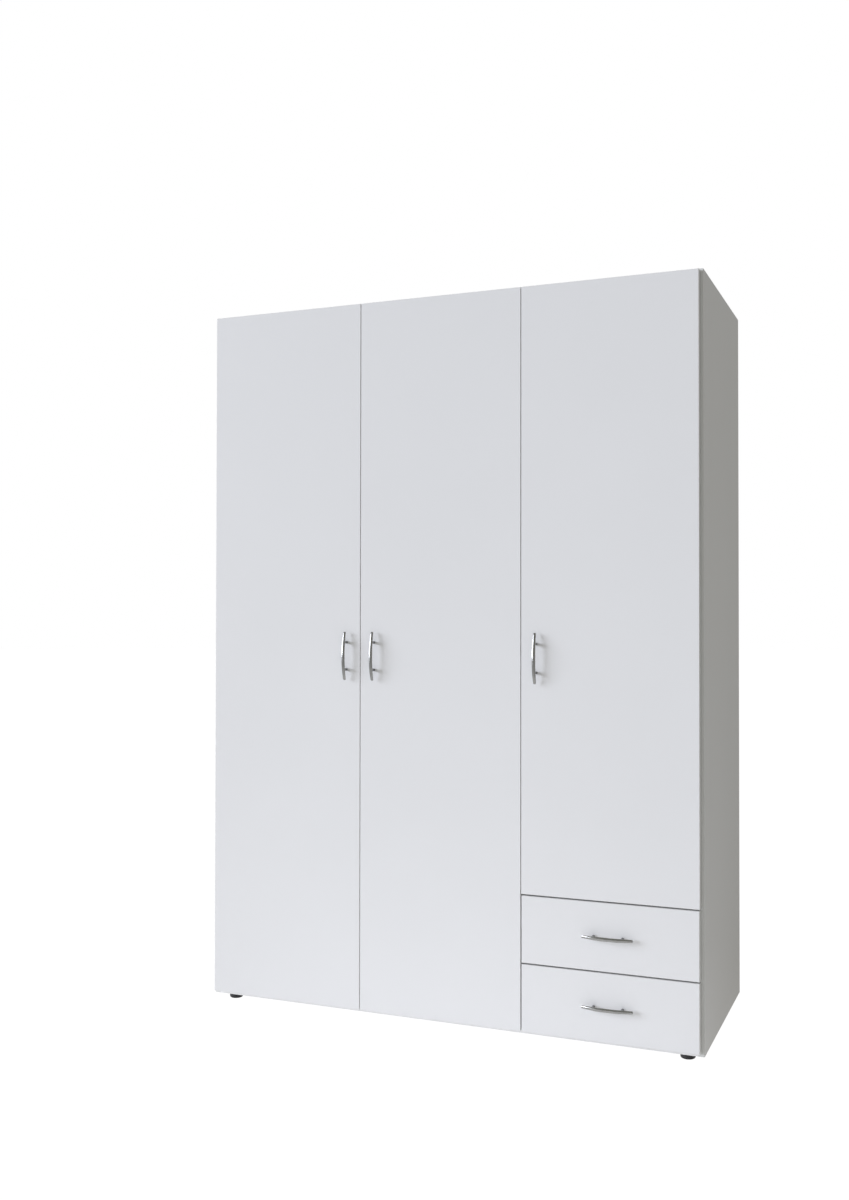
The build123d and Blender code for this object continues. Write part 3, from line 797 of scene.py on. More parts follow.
    def moved(self, place: Matrix) -> "Workpiece":
        """Carry the piece's mesh to a place."""
        self.thing.data.transform(place)
        return self

    def discard(self) -> None:
        """Remove the piece."""
        bpy.data.objects.remove(self.thing, do_unlink=True)

    @classmethod
    def gathered(cls, name: str, pieces: list["Workpiece"]) -> "Workpiece":
        """Gather several pieces into one object.

        Args:
            name: The object's name.
            pieces: The pieces, which become one.

        Returns:
            The gathered piece.
        """
        cls.alone()
        for piece in pieces:
            piece.thing.select_set(True)
        bpy.context.view_layer.objects.active = pieces[0].thing
        if len(pieces) > 1:
            bpy.ops.object.join()
        pieces[0].thing.name = name
        return pieces[0]

    def fitted(self, body: str, slot: str, material: bpy.types.Material,
               *nodes: str) -> None:
        """Finish the piece and let it move with a body of the frame.

        Args:
            body: The body it rides on.
            slot: The record's material slot; not used.
            material: Its finish.
            nodes: Frame nodes that it stands for.
        """
        self.hold()
        bpy.ops.object.shade_smooth_by_angle(angle=SMOOTH_BELOW)
        self.thing.data.materials.clear()
        self.thing.data.materials.append(material)
        self.alone()
        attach(self.thing, body)
        if nodes:
            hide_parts(*nodes)
        log.info("%s rides on %s", self.thing.name, body)


def solids(node: str) -> list[Box]:
    """Boxes of the separate solids in a frame node.

    Args:
        node: The node's name.

    Returns:
        Lowest and highest corner of each solid, from the lowest solid up.
    """
    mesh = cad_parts[node].data
    places = [tuple(round(value * 50000) for value in vertex.co) for vertex in mesh.vertices]
    parent = {place: place for place in places}

    def top(place: tuple[int, ...]) -> tuple[int, ...]:
        """The point that stands for a whole solid.

        Args:
            place: A point of the solid.

        Returns:
            The point that all of its points share.
        """
        while parent[place] != place:
            parent[place] = parent[parent[place]]
            place = parent[place]
        return place

    for face in mesh.polygons:
        first, *others = face.vertices
        for other in others:
            parent[top(places[other])] = top(places[first])
    groups: dict[tuple[int, ...], list[Vector]] = {}
    for vertex, place in zip(mesh.vertices, places):
        groups.setdefault(top(place), []).append(vertex.co)
    boxes = [(Vector(map(min, zip(*points))), Vector(map(max, zip(*points))))
             for points in groups.values()]
    return sorted(boxes, key=lambda box: (round(box[0].z, 4), round(box[0].x, 4), box[0].y))


def middle(box: Box, axis: Axis | None = None, at: float = 0.0) -> Vector:
    """Middle of a box, or the place beside it at a value on one axis.

    Args:
        box: Lowest and highest corner.
        axis: Axis on which the place is given, if on any.
        at: The place on that axis.

    Returns:
        The place.
    """
    place = (box[0] + box[1]) / 2
    if axis is not None:
        place[axis.value] = at
    return place


def fronts() -> list[tuple[str, str, Axis]]:
    """Label, body and direction of the handle of every door and drawer front."""
    doors = [(door.label, "door_leaf_" + door.label, Axis.Z) for door in Door]
    return doors + [(drawer.value, "drawer_" + drawer.value, Axis.X) for drawer in Drawer]


def aimed(foot: Vector, way: Vector) -> Matrix:
    """Matrix that puts a piece's foot at a place with its Z axis along a way."""
    return Matrix.Translation(foot) @ way.to_track_quat("Z", "Y").to_matrix().to_4x4()


# ------------------------------------------------------------------------------ assemblies


@dataclass
class Boards:
    """All melamine boards and hardboard sheets."""

    carcass: tuple[str, ...] = ("side_panel_left", "side_panel_right", "partition_panel",
                                "top_panel", "bottom_panel", "hat_shelf", "drawer_shelf",
                                "shelf_lower", "shelf_middle", "shelf_upper")
    sheets: tuple[str, ...] = ("back_sheet_left", "back_sheet_middle", "back_sheet_right")
    # Painted shade: greyer bands on the side panels' edges, for the shade the doors cast on them.
    side_band_painted_shade: Colour = (0.7, 0.705, 0.7)
    # Painted shade on the drawer fronts' top edges, for the shaded gaps between the fronts.
    drawer_top_painted_shade: Colour = (0.52, 0.52, 0.52)

    def banding(self, node: str) -> tuple[tuple[Axis, bool], ...]:
        """Edges that carry a band: the front edge of carcass boards, all round on fronts.

        Args:
            node: The board's node.

        Returns:
            Axis of each banded edge, and whether it is the edge at the axis's high end.
        """
        if node.startswith("side_panel"):
            return ((Axis.Y, False), (Axis.Z, True), (Axis.Z, False))
        if node.startswith(("door_", "drawer_front")):
            return ((Axis.X, False), (Axis.X, True), (Axis.Z, False), (Axis.Z, True))
        if node.startswith(("drawer_side", "drawer_back")):
            return ((Axis.Z, True), (Axis.Z, False), (Axis.Y, False))
        return ((Axis.Y, False),)

    def board(self, node: str) -> None:
        """Finish one board, with its core showing where it is sawn or bored.

        Args:
            node: The board's node.
        """
        low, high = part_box(node)
        finish = Melamine(low, high, self.banding(node))
        # Side panels get edge bands greyed with painted shade.
        if node.startswith("side_panel"):
            finish = Melamine(low, high, self.banding(node), band=self.side_band_painted_shade)
        elif node.startswith("drawer_front"):
            finish = Melamine(low, high, self.banding(node), top_painted_shade=self.drawer_top_painted_shade)
        dress(node, finish.material(node + "_melamine"), "white_board")

    def sheet(self, node: str, axis: Axis, at: float) -> None:
        """Finish one hardboard sheet, white on the side that lies at a place on an axis."""
        dress(node, Hardboard(axis, at).material(node + "_hardboard"), "back_board")

    def build(self) -> None:
        """Finish every board and sheet."""
        for node in self.carcass:
            self.board(node)
        for door in Door:
            self.board("door_" + door.label)
        for drawer in Drawer:
            for piece in ("front", "side_left", "side_right", "back"):
                self.board(f"drawer_{piece}_{drawer.value}")
            floor = f"drawer_floor_{drawer.value}"
            self.sheet(floor, Axis.Z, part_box(floor)[1].z)
        for node in self.sheets:
            self.sheet(node, Axis.Y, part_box(node)[0].y)


@dataclass
class Carried:
    """Metal and plastic fittings that keep their frame shape."""

    def build(self) -> None:
        """Finish every fitting that keeps its frame shape."""
        steel = PlatedSteel().material("fitting_steel")
        chrome = PlatedSteel((0.75, 0.75, 0.76), 0.2, (0.72, 0.72, 0.73), Axis.X).material(
            "chrome_tube")
        coat = PowderCoat().material("runner_coat")
        strip = Moulded((0.72, 0.72, 0.71), 0.4, 0.03 * MM).material("strip_plastic")
        pad = ClearPad().material("clear_pad")
        for node, finish, slot in (
                ("back_nails", steel, "fastener_steel"), ("cam_bolts", steel, "fastener_steel"),
                ("shelf_pins", steel, "hinge_steel"), ("clothes_rail", chrome, "rail_steel"),
                ("rail_sockets", chrome, "rail_steel"), ("back_strip", strip, "white_plastic"),
                ("door_bumpers", pad, "clear_pad"), ("runner_rails", coat, "runner_steel"),
                ("drawer_rails_lower", coat, "runner_steel"),
                ("drawer_rails_upper", coat, "runner_steel")):
            dress(node, finish, slot)


@dataclass
class Handles:
    """Cast bow handles: a tapering bar bent over two posts."""

    spacing: float = 72.0 * MM
    end_rise: float = 14.5 * MM
    thickness: float = 5.5 * MM
    end_thickness: float = 4.5 * MM
    end_width: float = 7.0 * MM
    end_round: float = 2.1 * MM
    post: float = 3.5 * MM
    sides: int = 28
    sections: int = 28

    @staticmethod
    def arc(half: float, end: float, middle: float, along: float) -> float:
        """Height of a shallow arc through its two ends and its middle.

        Args:
            half: Half the arc's length.
            end: Height at the ends.
            middle: Height in the middle.
            along: Place along the arc, 0 in the middle.

        Returns:
            The height there.
        """
        rise = middle - end
        radius = (half * half + rise * rise) / (2.0 * rise)
        return middle - radius + math.sqrt(radius * radius - along * along)

    def section(self, size: Vector, along: float) -> tuple[float, float, float]:
        """Middle height, width and thickness of the bar at a place along it.

        Args:
            size: Length, width and height of the handle.
            along: Place along the bar, 0 in the middle.

        Returns:
            Middle height, width and thickness.
        """
        half = size.x / 2.0
        outer = self.arc(half, self.end_rise, size.z, along)
        inner = self.arc(half, self.end_rise - self.end_thickness, size.z - self.thickness, along)
        width = self.arc(half, self.end_width, size.y, along)
        left = max(0.0, self.end_round - (half - abs(along)))
        shrink = self.end_round - math.sqrt(self.end_round ** 2 - left ** 2)
        return (outer + inner) / 2.0, width - 2.0 * shrink, outer - inner - 1.6 * shrink

    def places(self, half: float) -> list[float]:
        """Where the bar's sections stand: close together at its rounded ends.

        Args:
            half: Half the bar's length.

        Returns:
            The sections' places along the bar.
        """
        ends = [half - step * self.end_round for step in (0.0, 0.12, 0.35, 0.65, 1.0)]
        inner = [ends[-1] * (1.0 - 2.0 * step / self.sections)
                 for step in range(1, self.sections)]
        return [-place for place in ends] + inner[::-1] + ends[::-1]

    def bar(self, size: Vector) -> Workpiece:
        """Bend the tapering bar, section after section, from one rounded end to the other.

        Args:
            size: Length, width and height of the handle.

        Returns:
            The bar, lying along X.
        """
        places = self.places(size.x / 2.0)
        height, width, thick = self.section(size, places[0])
        Workpiece.alone()
        bpy.ops.mesh.primitive_circle_add(vertices=self.sides, radius=0.5, fill_type="NGON",
                                          location=(places[0], 0.0, height),
                                          rotation=(0.0, math.radians(90.0), 0.0))
        bar = Workpiece.added("bow_handle")
        bar.edit()
        bpy.ops.mesh.select_all(action="SELECT")
        bpy.ops.transform.resize(value=(1.0, width, thick),
                                 center_override=(places[0], 0.0, height))
        for before, place in zip(places, places[1:]):
            next_height, next_width, next_thick = self.section(size, place)
            bar.pull(Vector((place - before, 0.0, next_height - height)))
            bpy.ops.transform.resize(value=(1.0, next_width / width, next_thick / thick),
                                     center_override=(place, 0.0, next_height))
            height, width, thick = next_height, next_width, next_thick
        return bar.tidied()

    def model(self, size: Vector) -> Workpiece:
        """One handle lying along X on the floor of its own frame, bow upwards.

        Args:
            size: Length, width and height of the handle.

        Returns:
            The handle.
        """
        handle = self.bar(size)
        for side in (-1, 1):
            top = self.section(size, side * self.spacing / 2.0)[0]
            rings = [(self.post - 0.35 * MM, 0.0), (self.post, 0.35 * MM), (self.post, 0.45 * top),
                     (self.post * 0.94, 0.62 * top), (self.post * 1.02, top)]
            foot = Matrix.Translation((side * self.spacing / 2.0, 0.0, 0.0))
            handle.boolean(Workpiece.turned("post", rings, 32).moved(foot), "UNION")
        return handle.tidied()

    def build(self) -> None:
        """Fit a handle to every door and drawer front."""
        low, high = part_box("handle_left")
        size = high - low
        model = self.model(Vector((size.z, size.x, size.y)))
        turns = {Axis.Z: Matrix(((0, -1, 0, 0), (0, 0, -1, 0), (1, 0, 0, 0), (0, 0, 0, 1))),
                 Axis.X: Matrix(((1, 0, 0, 0), (0, 0, -1, 0), (0, 1, 0, 0), (0, 0, 0, 1)))}
        for label, body, along in fronts():
            node = "handle_" + label
            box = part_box(node)
            foot = middle(box, Axis.Y, box[1].y)
            piece = model.copy("bow_" + node, Matrix.Translation(foot) @ turns[along])
            finish = SatinNickel(along, foot.y)
            piece.fitted(body, "satin_nickel", finish.material("satin_" + node), node)
        model.discard()


@dataclass
class Screws:
    """Pan-head screws with a cross recess, wherever a fitting is screwed down."""

    head: float = 3.3 * MM
    head_height: float = 1.5 * MM
    shank: float = 1.7 * MM
    length: float = 6.0 * MM
    wing_reach: float = 24.0 * MM
    plate_reach: float = 17.0 * MM
    through_shank: float = 2.0 * MM
    rail_places: tuple[float, ...] = (87.5 * MM, 237.5 * MM, 387.5 * MM)
    rail_drop: float = 9.0 * MM
    rail_web: float = 1.0 * MM

    @staticmethod
    def cross(reach: float, half: float, low: float, high: float) -> Workpiece:
        """Cutter for a cross recess between two heights.

        Args:
            reach: Length of each arm of the cross from its middle.
            half: Half the width of an arm.
            low: Height of its floor.
            high: Height of its open end.

        Returns:
            The cutter.
        """
        cutter = Workpiece.block("cross", Vector((-half, -half, low)), Vector((half, half, high)))
        for way in (Vector((1, 0, 0)), Vector((-1, 0, 0)), Vector((0, 1, 0)), Vector((0, -1, 0))):
            cutter.pick_faces(lambda place, normal, way=way: normal.dot(way) > 0.9
                              and place.dot(way) < half * 1.01)
            cutter.pull(way * (reach - half))
        return cutter.tidied()

    def screw(self, head: float, height: float, shank: float, length: float) -> Workpiece:
        """One screw standing on its seat, head upwards.

        Args:
            head: Radius of the head.
            height: Height of the head.
            shank: Radius of the shank.
            length: Shank below the seat.

        Returns:
            The screw.
        """
        rings = [(shank * 0.3, -length), (shank, -length + shank), (shank, 0.0), (head, 0.0),
                 (head, 0.3 * height), (0.95 * head, 0.62 * height), (0.8 * head, 0.87 * height),
                 (0.55 * head, height)]
        screw = Workpiece.turned("screw", rings, 28)
        recess = self.cross(0.52 * head, 0.13 * head, 0.3 * height, height * 1.2)
        return screw.boolean(recess, "DIFFERENCE").tidied()

    def row(self, name: str, model: Workpiece, seats: list[Seat],
            body: str, steel: bpy.types.Material) -> None:
        """Screw down one group of fittings.

        Args:
            name: Name of the gathered screws.
            model: The screw to copy.
            seats: Foot and direction of each screw.
            body: The body that carries them.
            steel: Their finish.
        """
        screws = [model.copy(name, aimed(foot, way)) for foot, way in seats]
        Workpiece.gathered(name, screws).fitted(body, "fastener_steel", steel)

    def handle_screws(self, steel: bpy.types.Material) -> None:
        """Screws through the fronts, with their heads on the inside.

        Args:
            steel: The screws' finish.
        """
        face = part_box("door_left")[1].y
        for label, body, _ in fronts():
            node = "handle_screws_" + label
            boxes = solids(node)
            low, high = boxes[0]
            model = self.screw((high.x - low.x) / 2, high.y - face, self.through_shank,
                               face - low.y)
            copies = [model.copy(node, aimed(middle(box, Axis.Y, face), Vector((0, 1, 0))))
                      for box in boxes]
            piece = Workpiece.gathered("through_screws_" + label, copies)
            piece.fitted(body, "fastener_steel", steel, node)
            model.discard()

    def build(self) -> None:
        """Fit every screw."""
        steel = PlatedSteel((0.66, 0.66, 0.67), 0.26).material("screw_steel")
        self.handle_screws(steel)
        model = self.screw(self.head, self.head_height, self.shank, self.length)
        for door in Door:
            seats = self.pairs([(middle(box, Axis.Y, box[1].y), Vector((0, 1, 0)))
                                for box in solids("hinge_cups_" + door.label)], self.wing_reach)
            self.row("wing_screws_" + door.label, model, seats, "door_leaf_" + door.label, steel)
        plates = []
        for low, high in solids("hinge_plates"):
            way = self.off_panel(low, high)
            place = middle((low, high), Axis.X, high.x if way > 0 else low.x)
            plates.append((place, Vector((way, 0, 0))))
        self.row("plate_screws", model, self.pairs(plates, self.plate_reach), "carcass", steel)
        self.row("rail_screws", model, self.rail_seats(), "carcass", steel)
        model.discard()

    @staticmethod
    def pairs(seats: list[Seat], reach: float) -> list[Seat]:
        """Two screws for each seat, one below it and one above."""
        up = Vector((0, 0, reach))
        return [(place + side * up, way) for place, way in seats for side in (-1, 1)]

    @staticmethod
    def off_panel(low: Vector, high: Vector) -> int:
        """Direction along X in which a fitting stands off its panel."""
        faces = [(abs(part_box("side_panel_left")[1].x - low.x), 1),
                 (abs(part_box("side_panel_right")[0].x - high.x), -1),
                 (abs(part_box("partition_panel")[0].x - high.x), -1),
                 (abs(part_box("partition_panel")[1].x - low.x), 1)]
        return min(faces)[1]

    def rail_seats(self) -> list[Seat]:
        """Screws through the webs of the drawer runners into the panels.

        Returns:
            Foot and direction of each screw.
        """
        seats = []
        for low, high in solids("runner_rails"):
            way = self.off_panel(low, high)
            face = low.x if way > 0 else high.x
            for step in self.rail_places:
                place = Vector((face + way * self.rail_web, low.y + step, high.z - self.rail_drop))
                seats.append((place, Vector((way, 0, 0))))
        return seats


@dataclass
class Hinges:
    """Concealed hinges: pressed cups with wings, cranked arms and mounting plates."""

    wall: float = 0.8 * MM
    flange: float = 1.0 * MM
    cup: float = 17.4 * MM
    rim: float = 18.5 * MM
    corner: float = 5.2 * MM
    wing_width: float = 16.0 * MM
    arm_round: float = 1.1 * MM
    arm_height: float = 9.0 * MM
    left_end: float = -0.3
    nose_length: float = 10.0 * MM
    crank: float = 11.0 * MM
    screw: tuple[float, float, float, float] = (3.0 * MM, 1.2 * MM, 1.5 * MM, 2.0 * MM)
    screw_sunk: float = 1.5 * MM
    wells: tuple[tuple[float, float], ...] = ((8.0 * MM, 4.5 * MM), (25.0 * MM, 3.4 * MM))
    well_height: float = 4.0 * MM
    plate_corner: float = 5.0 * MM
    plate_edge: float = 0.8 * MM

    def cup_model(self, size: Vector) -> Workpiece:
        """Cup with its wings lying on the XY plane, wings along X, open upwards.

        Args:
            size: Length of the wings, diameter over the rim, and whole height.

        Returns:
            The model.
        """
        half = size.x / 2.0
        width = self.wing_width / 2.0
        wings = Workpiece.block("cup", Vector((-half, -width, 0.0)),
                                Vector((half, width, self.flange)))
        wings.pick_edges(lambda place, way: abs(way.z) > 0.9)
        wings.bevel(self.corner, 6)
        wings.pick_edges(lambda place, way: place.z > 0.9 * self.flange)
        wings.bevel(0.3 * MM, 2)
        depth = size.z - self.flange
        rings = [(self.cup - 1.2 * MM, -depth), (self.cup, -depth + 1.2 * MM), (self.cup, 0.0),
                 (self.rim, 0.0), (self.rim, self.flange - 0.3 * MM),
                 (self.rim - 0.3 * MM, self.flange), (self.cup - self.wall + 0.4 * MM, self.flange),
                 (self.cup - self.wall, self.flange - 0.4 * MM),
                 (self.cup - self.wall, -depth + 2.2 * MM),
                 (self.cup - self.wall - 1.3 * MM, -depth + self.wall),
                 (self.cup * 0.42, -depth + self.wall), (self.cup * 0.38, -depth + 1.5 * MM)]
        bowl = Workpiece.turned("bowl", rings, 64)
        bore = Workpiece.turned("bore", [(self.cup - self.wall, -1.0 * MM),
                                         (self.cup - self.wall, 2.0 * MM)], 64)
        wings.boolean(bore, "DIFFERENCE")
        return wings.boolean(bowl, "UNION").tidied()

    def arm_model(self, low: Vector, high: Vector, side: int, nose: float) -> Workpiece:
        """Cranked arm built in its place from its nose back to its rear end.

        Args:
            low: Lowest corner of the arm.
            high: Highest corner.
            side: Side of the door that carries the hinges, -1 or 1.
            nose: Depth at which the nose leaves the cup.

        Returns:
            The arm.
        """
        seat = high.x if side > 0 else low.x
        tip = low.x if side > 0 else high.x
        inner = tip + side * self.nose_length
        start = Vector((min(tip, inner), low.y, low.z))
        arm = Workpiece.block("hinge_arm", start, Vector((max(tip, inner), nose, high.z)))
        centre = seat - side * self.arm_height / 2
        for back in (nose + self.crank, high.y):
            arm.pick_faces(lambda place, normal: normal.y > 0.9)
            left, right, rear = self.span_at_rear(arm)
            arm.pull(Vector((centre - (left + right) / 2, back - rear, 0.0)))
            bpy.ops.transform.resize(value=(self.arm_height / (right - left), 1.0, 1.0),
                                     center_override=(centre, back, 0.0))
            Workpiece.alone()
        arm.tidied()
        arm.pick_edges(lambda place, way: abs(way.z) < 0.5)
        arm.bevel(self.arm_round, 3)
        return arm.tidied()

    @staticmethod
    def span_at_rear(arm: Workpiece) -> tuple[float, float, float]:
        """Lowest and highest X of an arm's rear face, and its Y.

        Args:
            arm: The arm, open in edit mode or not.

        Returns:
            Lowest X, highest X and Y, with the arm open in edit mode.
        """
        Workpiece.alone()
        places = [vertex.co for vertex in arm.thing.data.vertices]
        rear = max(place.y for place in places)
        ends = [place.x for place in places if place.y > rear - 0.01 * MM]
        arm.edit()
        return min(ends), max(ends), rear

    def build(self) -> None:
        """Fit every hinge."""
        steel = PlatedSteel((0.68, 0.68, 0.69), 0.22).material("hinge_steel")
        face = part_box("door_left")[1].y
        low, high = solids("hinge_cups_left")[0]
        size = Vector((high.z - low.z, high.x - low.x, high.y - low.y))
        cup = self.cup_model(size)
        upright = Matrix(((0, 1, 0, 0), (0, 0, 1, 0), (1, 0, 0, 0), (0, 0, 0, 1)))
        for door in Door:
            node = "hinge_cups_" + door.label
            copies = [cup.copy(node, Matrix.Translation(middle(box, Axis.Y, face)) @ upright)
                      for box in solids(node)]
            Workpiece.gathered("cup_" + door.label, copies).fitted(
                "door_leaf_" + door.label, "hinge_steel", steel, node)
        cup.discard()
        self.arms(steel)
        self.plates(steel)

    def arms(self, steel: bpy.types.Material) -> None:
        """Fit the arms, with their adjusting screws sunk into slots.

        Args:
            steel: The hinges' finish.
        """
        screw = Screws().screw(*self.screw)
        pieces = []
        for low, high in solids("hinge_arms"):
            side = -1 if (low.x + high.x) / 2 < self.left_end else 1
            arm = self.arm_model(low, high, side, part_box("door_left")[1].y)
            floor = (high.x if side > 0 else low.x) - side * (self.arm_height - self.screw_sunk)
            for back, reach in self.wells:
                foot = Vector((floor, high.y - back, (low.z + high.z) / 2))
                seat = aimed(foot, Vector((-side, 0, 0)))
                well = Workpiece.turned("well", [(reach, 0.0), (reach, self.well_height)], 32)
                arm.boolean(well.moved(seat), "DIFFERENCE")
                pieces.append(screw.copy("arm_screw", seat))
            pieces.append(arm)
        screw.discard()
        Workpiece.gathered("cranked_arms", pieces).fitted("carcass", "hinge_steel", steel,
                                                          "hinge_arms")

    def plates(self, steel: bpy.types.Material) -> None:
        """Fit the mounting plates, with rounded corners and softened edges.

        Args:
            steel: The hinges' finish.
        """
        plates = []
        for low, high in solids("hinge_plates"):
            plate = Workpiece.block("hinge_plate", low, high)
            plate.pick_edges(lambda place, way: abs(way.x) > 0.9)
            plate.bevel(self.plate_corner, 5)
            outer = high.x if Screws.off_panel(low, high) > 0 else low.x
            plate.pick_edges(lambda place, way, outer=outer: abs(place.x - outer) < 0.01 * MM)
            plate.bevel(self.plate_edge, 3)
            plates.append(plate)
        Workpiece.gathered("mounting_plates", plates).fitted("carcass", "hinge_steel", steel,
                                                             "hinge_plates")


@dataclass
class Turnings:
    """Turned and moulded round pieces: feet, cam locks and drawer rollers."""

    foot_sides: int = 64
    foot_stem: float = 4.0 * MM
    roller_holes: int = 5
    roller_hole: float = 1.0 * MM
    roller_bore: float = 2.05 * MM

    def foot(self, radius: float, height: float, stem: float, top: float) -> Workpiece:
        """One foot standing on its sole, with its stem upwards."""
        rings = [(radius * 0.52, 0.9 * MM), (radius * 0.56, 0.0), (radius - 5.2 * MM, 0.0),
                 (radius - 3.0 * MM, 0.5 * MM), (radius - 1.4 * MM, 1.6 * MM),
                 (radius - 0.4 * MM, 3.4 * MM), (radius - 0.1 * MM, 5.6 * MM),
                 (radius - 0.1 * MM, 10.4 * MM),
                 (radius - 0.9 * MM, 10.9 * MM), (radius - 0.9 * MM, 12.1 * MM),
                 (radius - 0.1 * MM, 12.6 * MM), (radius - 0.1 * MM, height - 0.6 * MM),
                 (radius - 0.7 * MM, height), (stem, height), (stem, top)]
        return Workpiece.turned("foot", rings, self.foot_sides)

    def feet(self) -> None:
        """Fit the feet."""
        black = Moulded((0.012, 0.012, 0.013), 0.46).material("black_foot_plastic")
        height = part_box("bottom_panel")[0].z
        low, high = solids("feet_front")[0]
        model = self.foot((high.x - low.x) / 2, height, self.foot_stem, high.z)
        for row in ("front", "rear", "middle"):
            node = "feet_" + row
            copies = [model.copy(node, Matrix.Translation(middle(box, Axis.Z, 0.0)))
                      for box in solids(node)]
            Workpiece.gathered("moulded_feet_" + row, copies).fitted("carcass", "foot_plastic",
                                                                     black, node)
        model.discard()

    def cams(self) -> None:
        """Fit the cam locks, each with a cross recess in its face."""
        zinc = PlatedSteel((0.5, 0.5, 0.51), 0.45, (0.3, 0.3, 0.3)).material("cast_zinc")
        boxes = solids("cam_locks")
        low, high = boxes[0]
        radius = (high.y - low.y) / 2
        depth = min(high.z - low.z, high.x - low.x)
        rings = [(radius - 0.4 * MM, 0.0), (radius, 0.4 * MM), (radius, depth - 0.5 * MM),
                 (radius - 0.5 * MM, depth), (radius - 1.5 * MM, depth),
                 (radius - 1.8 * MM, depth - 0.5 * MM)]
        model = Workpiece.turned("cam", rings, 40)
        model.boolean(Screws.cross(3.2 * MM, 0.8 * MM, depth - 3.0 * MM, depth + 1.0 * MM),
                      "DIFFERENCE")
        copies = []
        for low, high in boxes:
            if high.x - low.x < high.z - low.z:
                seat = aimed(middle((low, high), Axis.X, low.x), Vector((1, 0, 0)))
            else:
                seat = aimed(middle((low, high), Axis.Z, high.z), Vector((0, 0, -1)))
            copies.append(model.copy("cam", seat))
        Workpiece.gathered("cast_cams", copies).fitted("carcass", "cam_zinc", zinc, "cam_locks")
        model.discard()

    def roller(self, radius: float, width: float) -> Workpiece:
        """One drawer roller about Z: rounded tread, thin web with holes, hub and bore.

        Args:
            radius: Radius of the tread.
            width: Width over the tread.

        Returns:
            The roller.
        """
        rings = [(radius * 0.82, 1.6 * MM), (radius * 0.84, 0.0), (radius - 0.7 * MM, 0.0),
                 (radius, 0.7 * MM), (radius, width - 0.7 * MM), (radius - 0.7 * MM, width),
                 (radius * 0.84, width), (radius * 0.82, width - 1.6 * MM),
                 (radius * 0.44, width - 1.6 * MM), (radius * 0.42, width - 0.1 * MM)]
        roller = Workpiece.turned("roller", rings, 48)
        bore = [(self.roller_bore, -MM), (self.roller_bore, width + MM)]
        roller.boolean(Workpiece.turned("bore", bore, 24), "DIFFERENCE")
        for step in range(self.roller_holes):
            drill = [(self.roller_hole, -MM), (self.roller_hole, width + MM)]
            hole = Workpiece.turned("hole", drill, 16)
            angle = 2.0 * math.pi * step / self.roller_holes
            place = Vector((math.cos(angle), math.sin(angle), 0.0)) * radius * 0.63
            roller.boolean(hole.moved(Matrix.Translation(place)), "DIFFERENCE")
        return roller.tidied()

    def rollers(self) -> None:
        """Fit the rollers of both drawers."""
        nylon = Moulded((0.74, 0.74, 0.7), 0.42, 0.03 * MM).material("roller_nylon")
        low, high = solids("front_rollers_lower")[0]
        model = self.roller((high.z - low.z) / 2, high.x - low.x)
        for drawer in Drawer:
            for end in ("front", "rear"):
                node = f"{end}_rollers_{drawer.value}"
                copies = [model.copy(node, aimed(middle(box, Axis.X, box[0].x),
                                                 Vector((1, 0, 0)))) for box in solids(node)]
                Workpiece.gathered("wheels_" + node, copies).fitted(
                    f"{end}_roller_pair_{drawer.value}", "roller_nylon", nylon, node)
        model.discard()

    def build(self) -> None:
        """Fit every turned piece."""
        self.feet()
        self.cams()
        self.rollers()


# ---------------------------------------------------------------------------------- studio


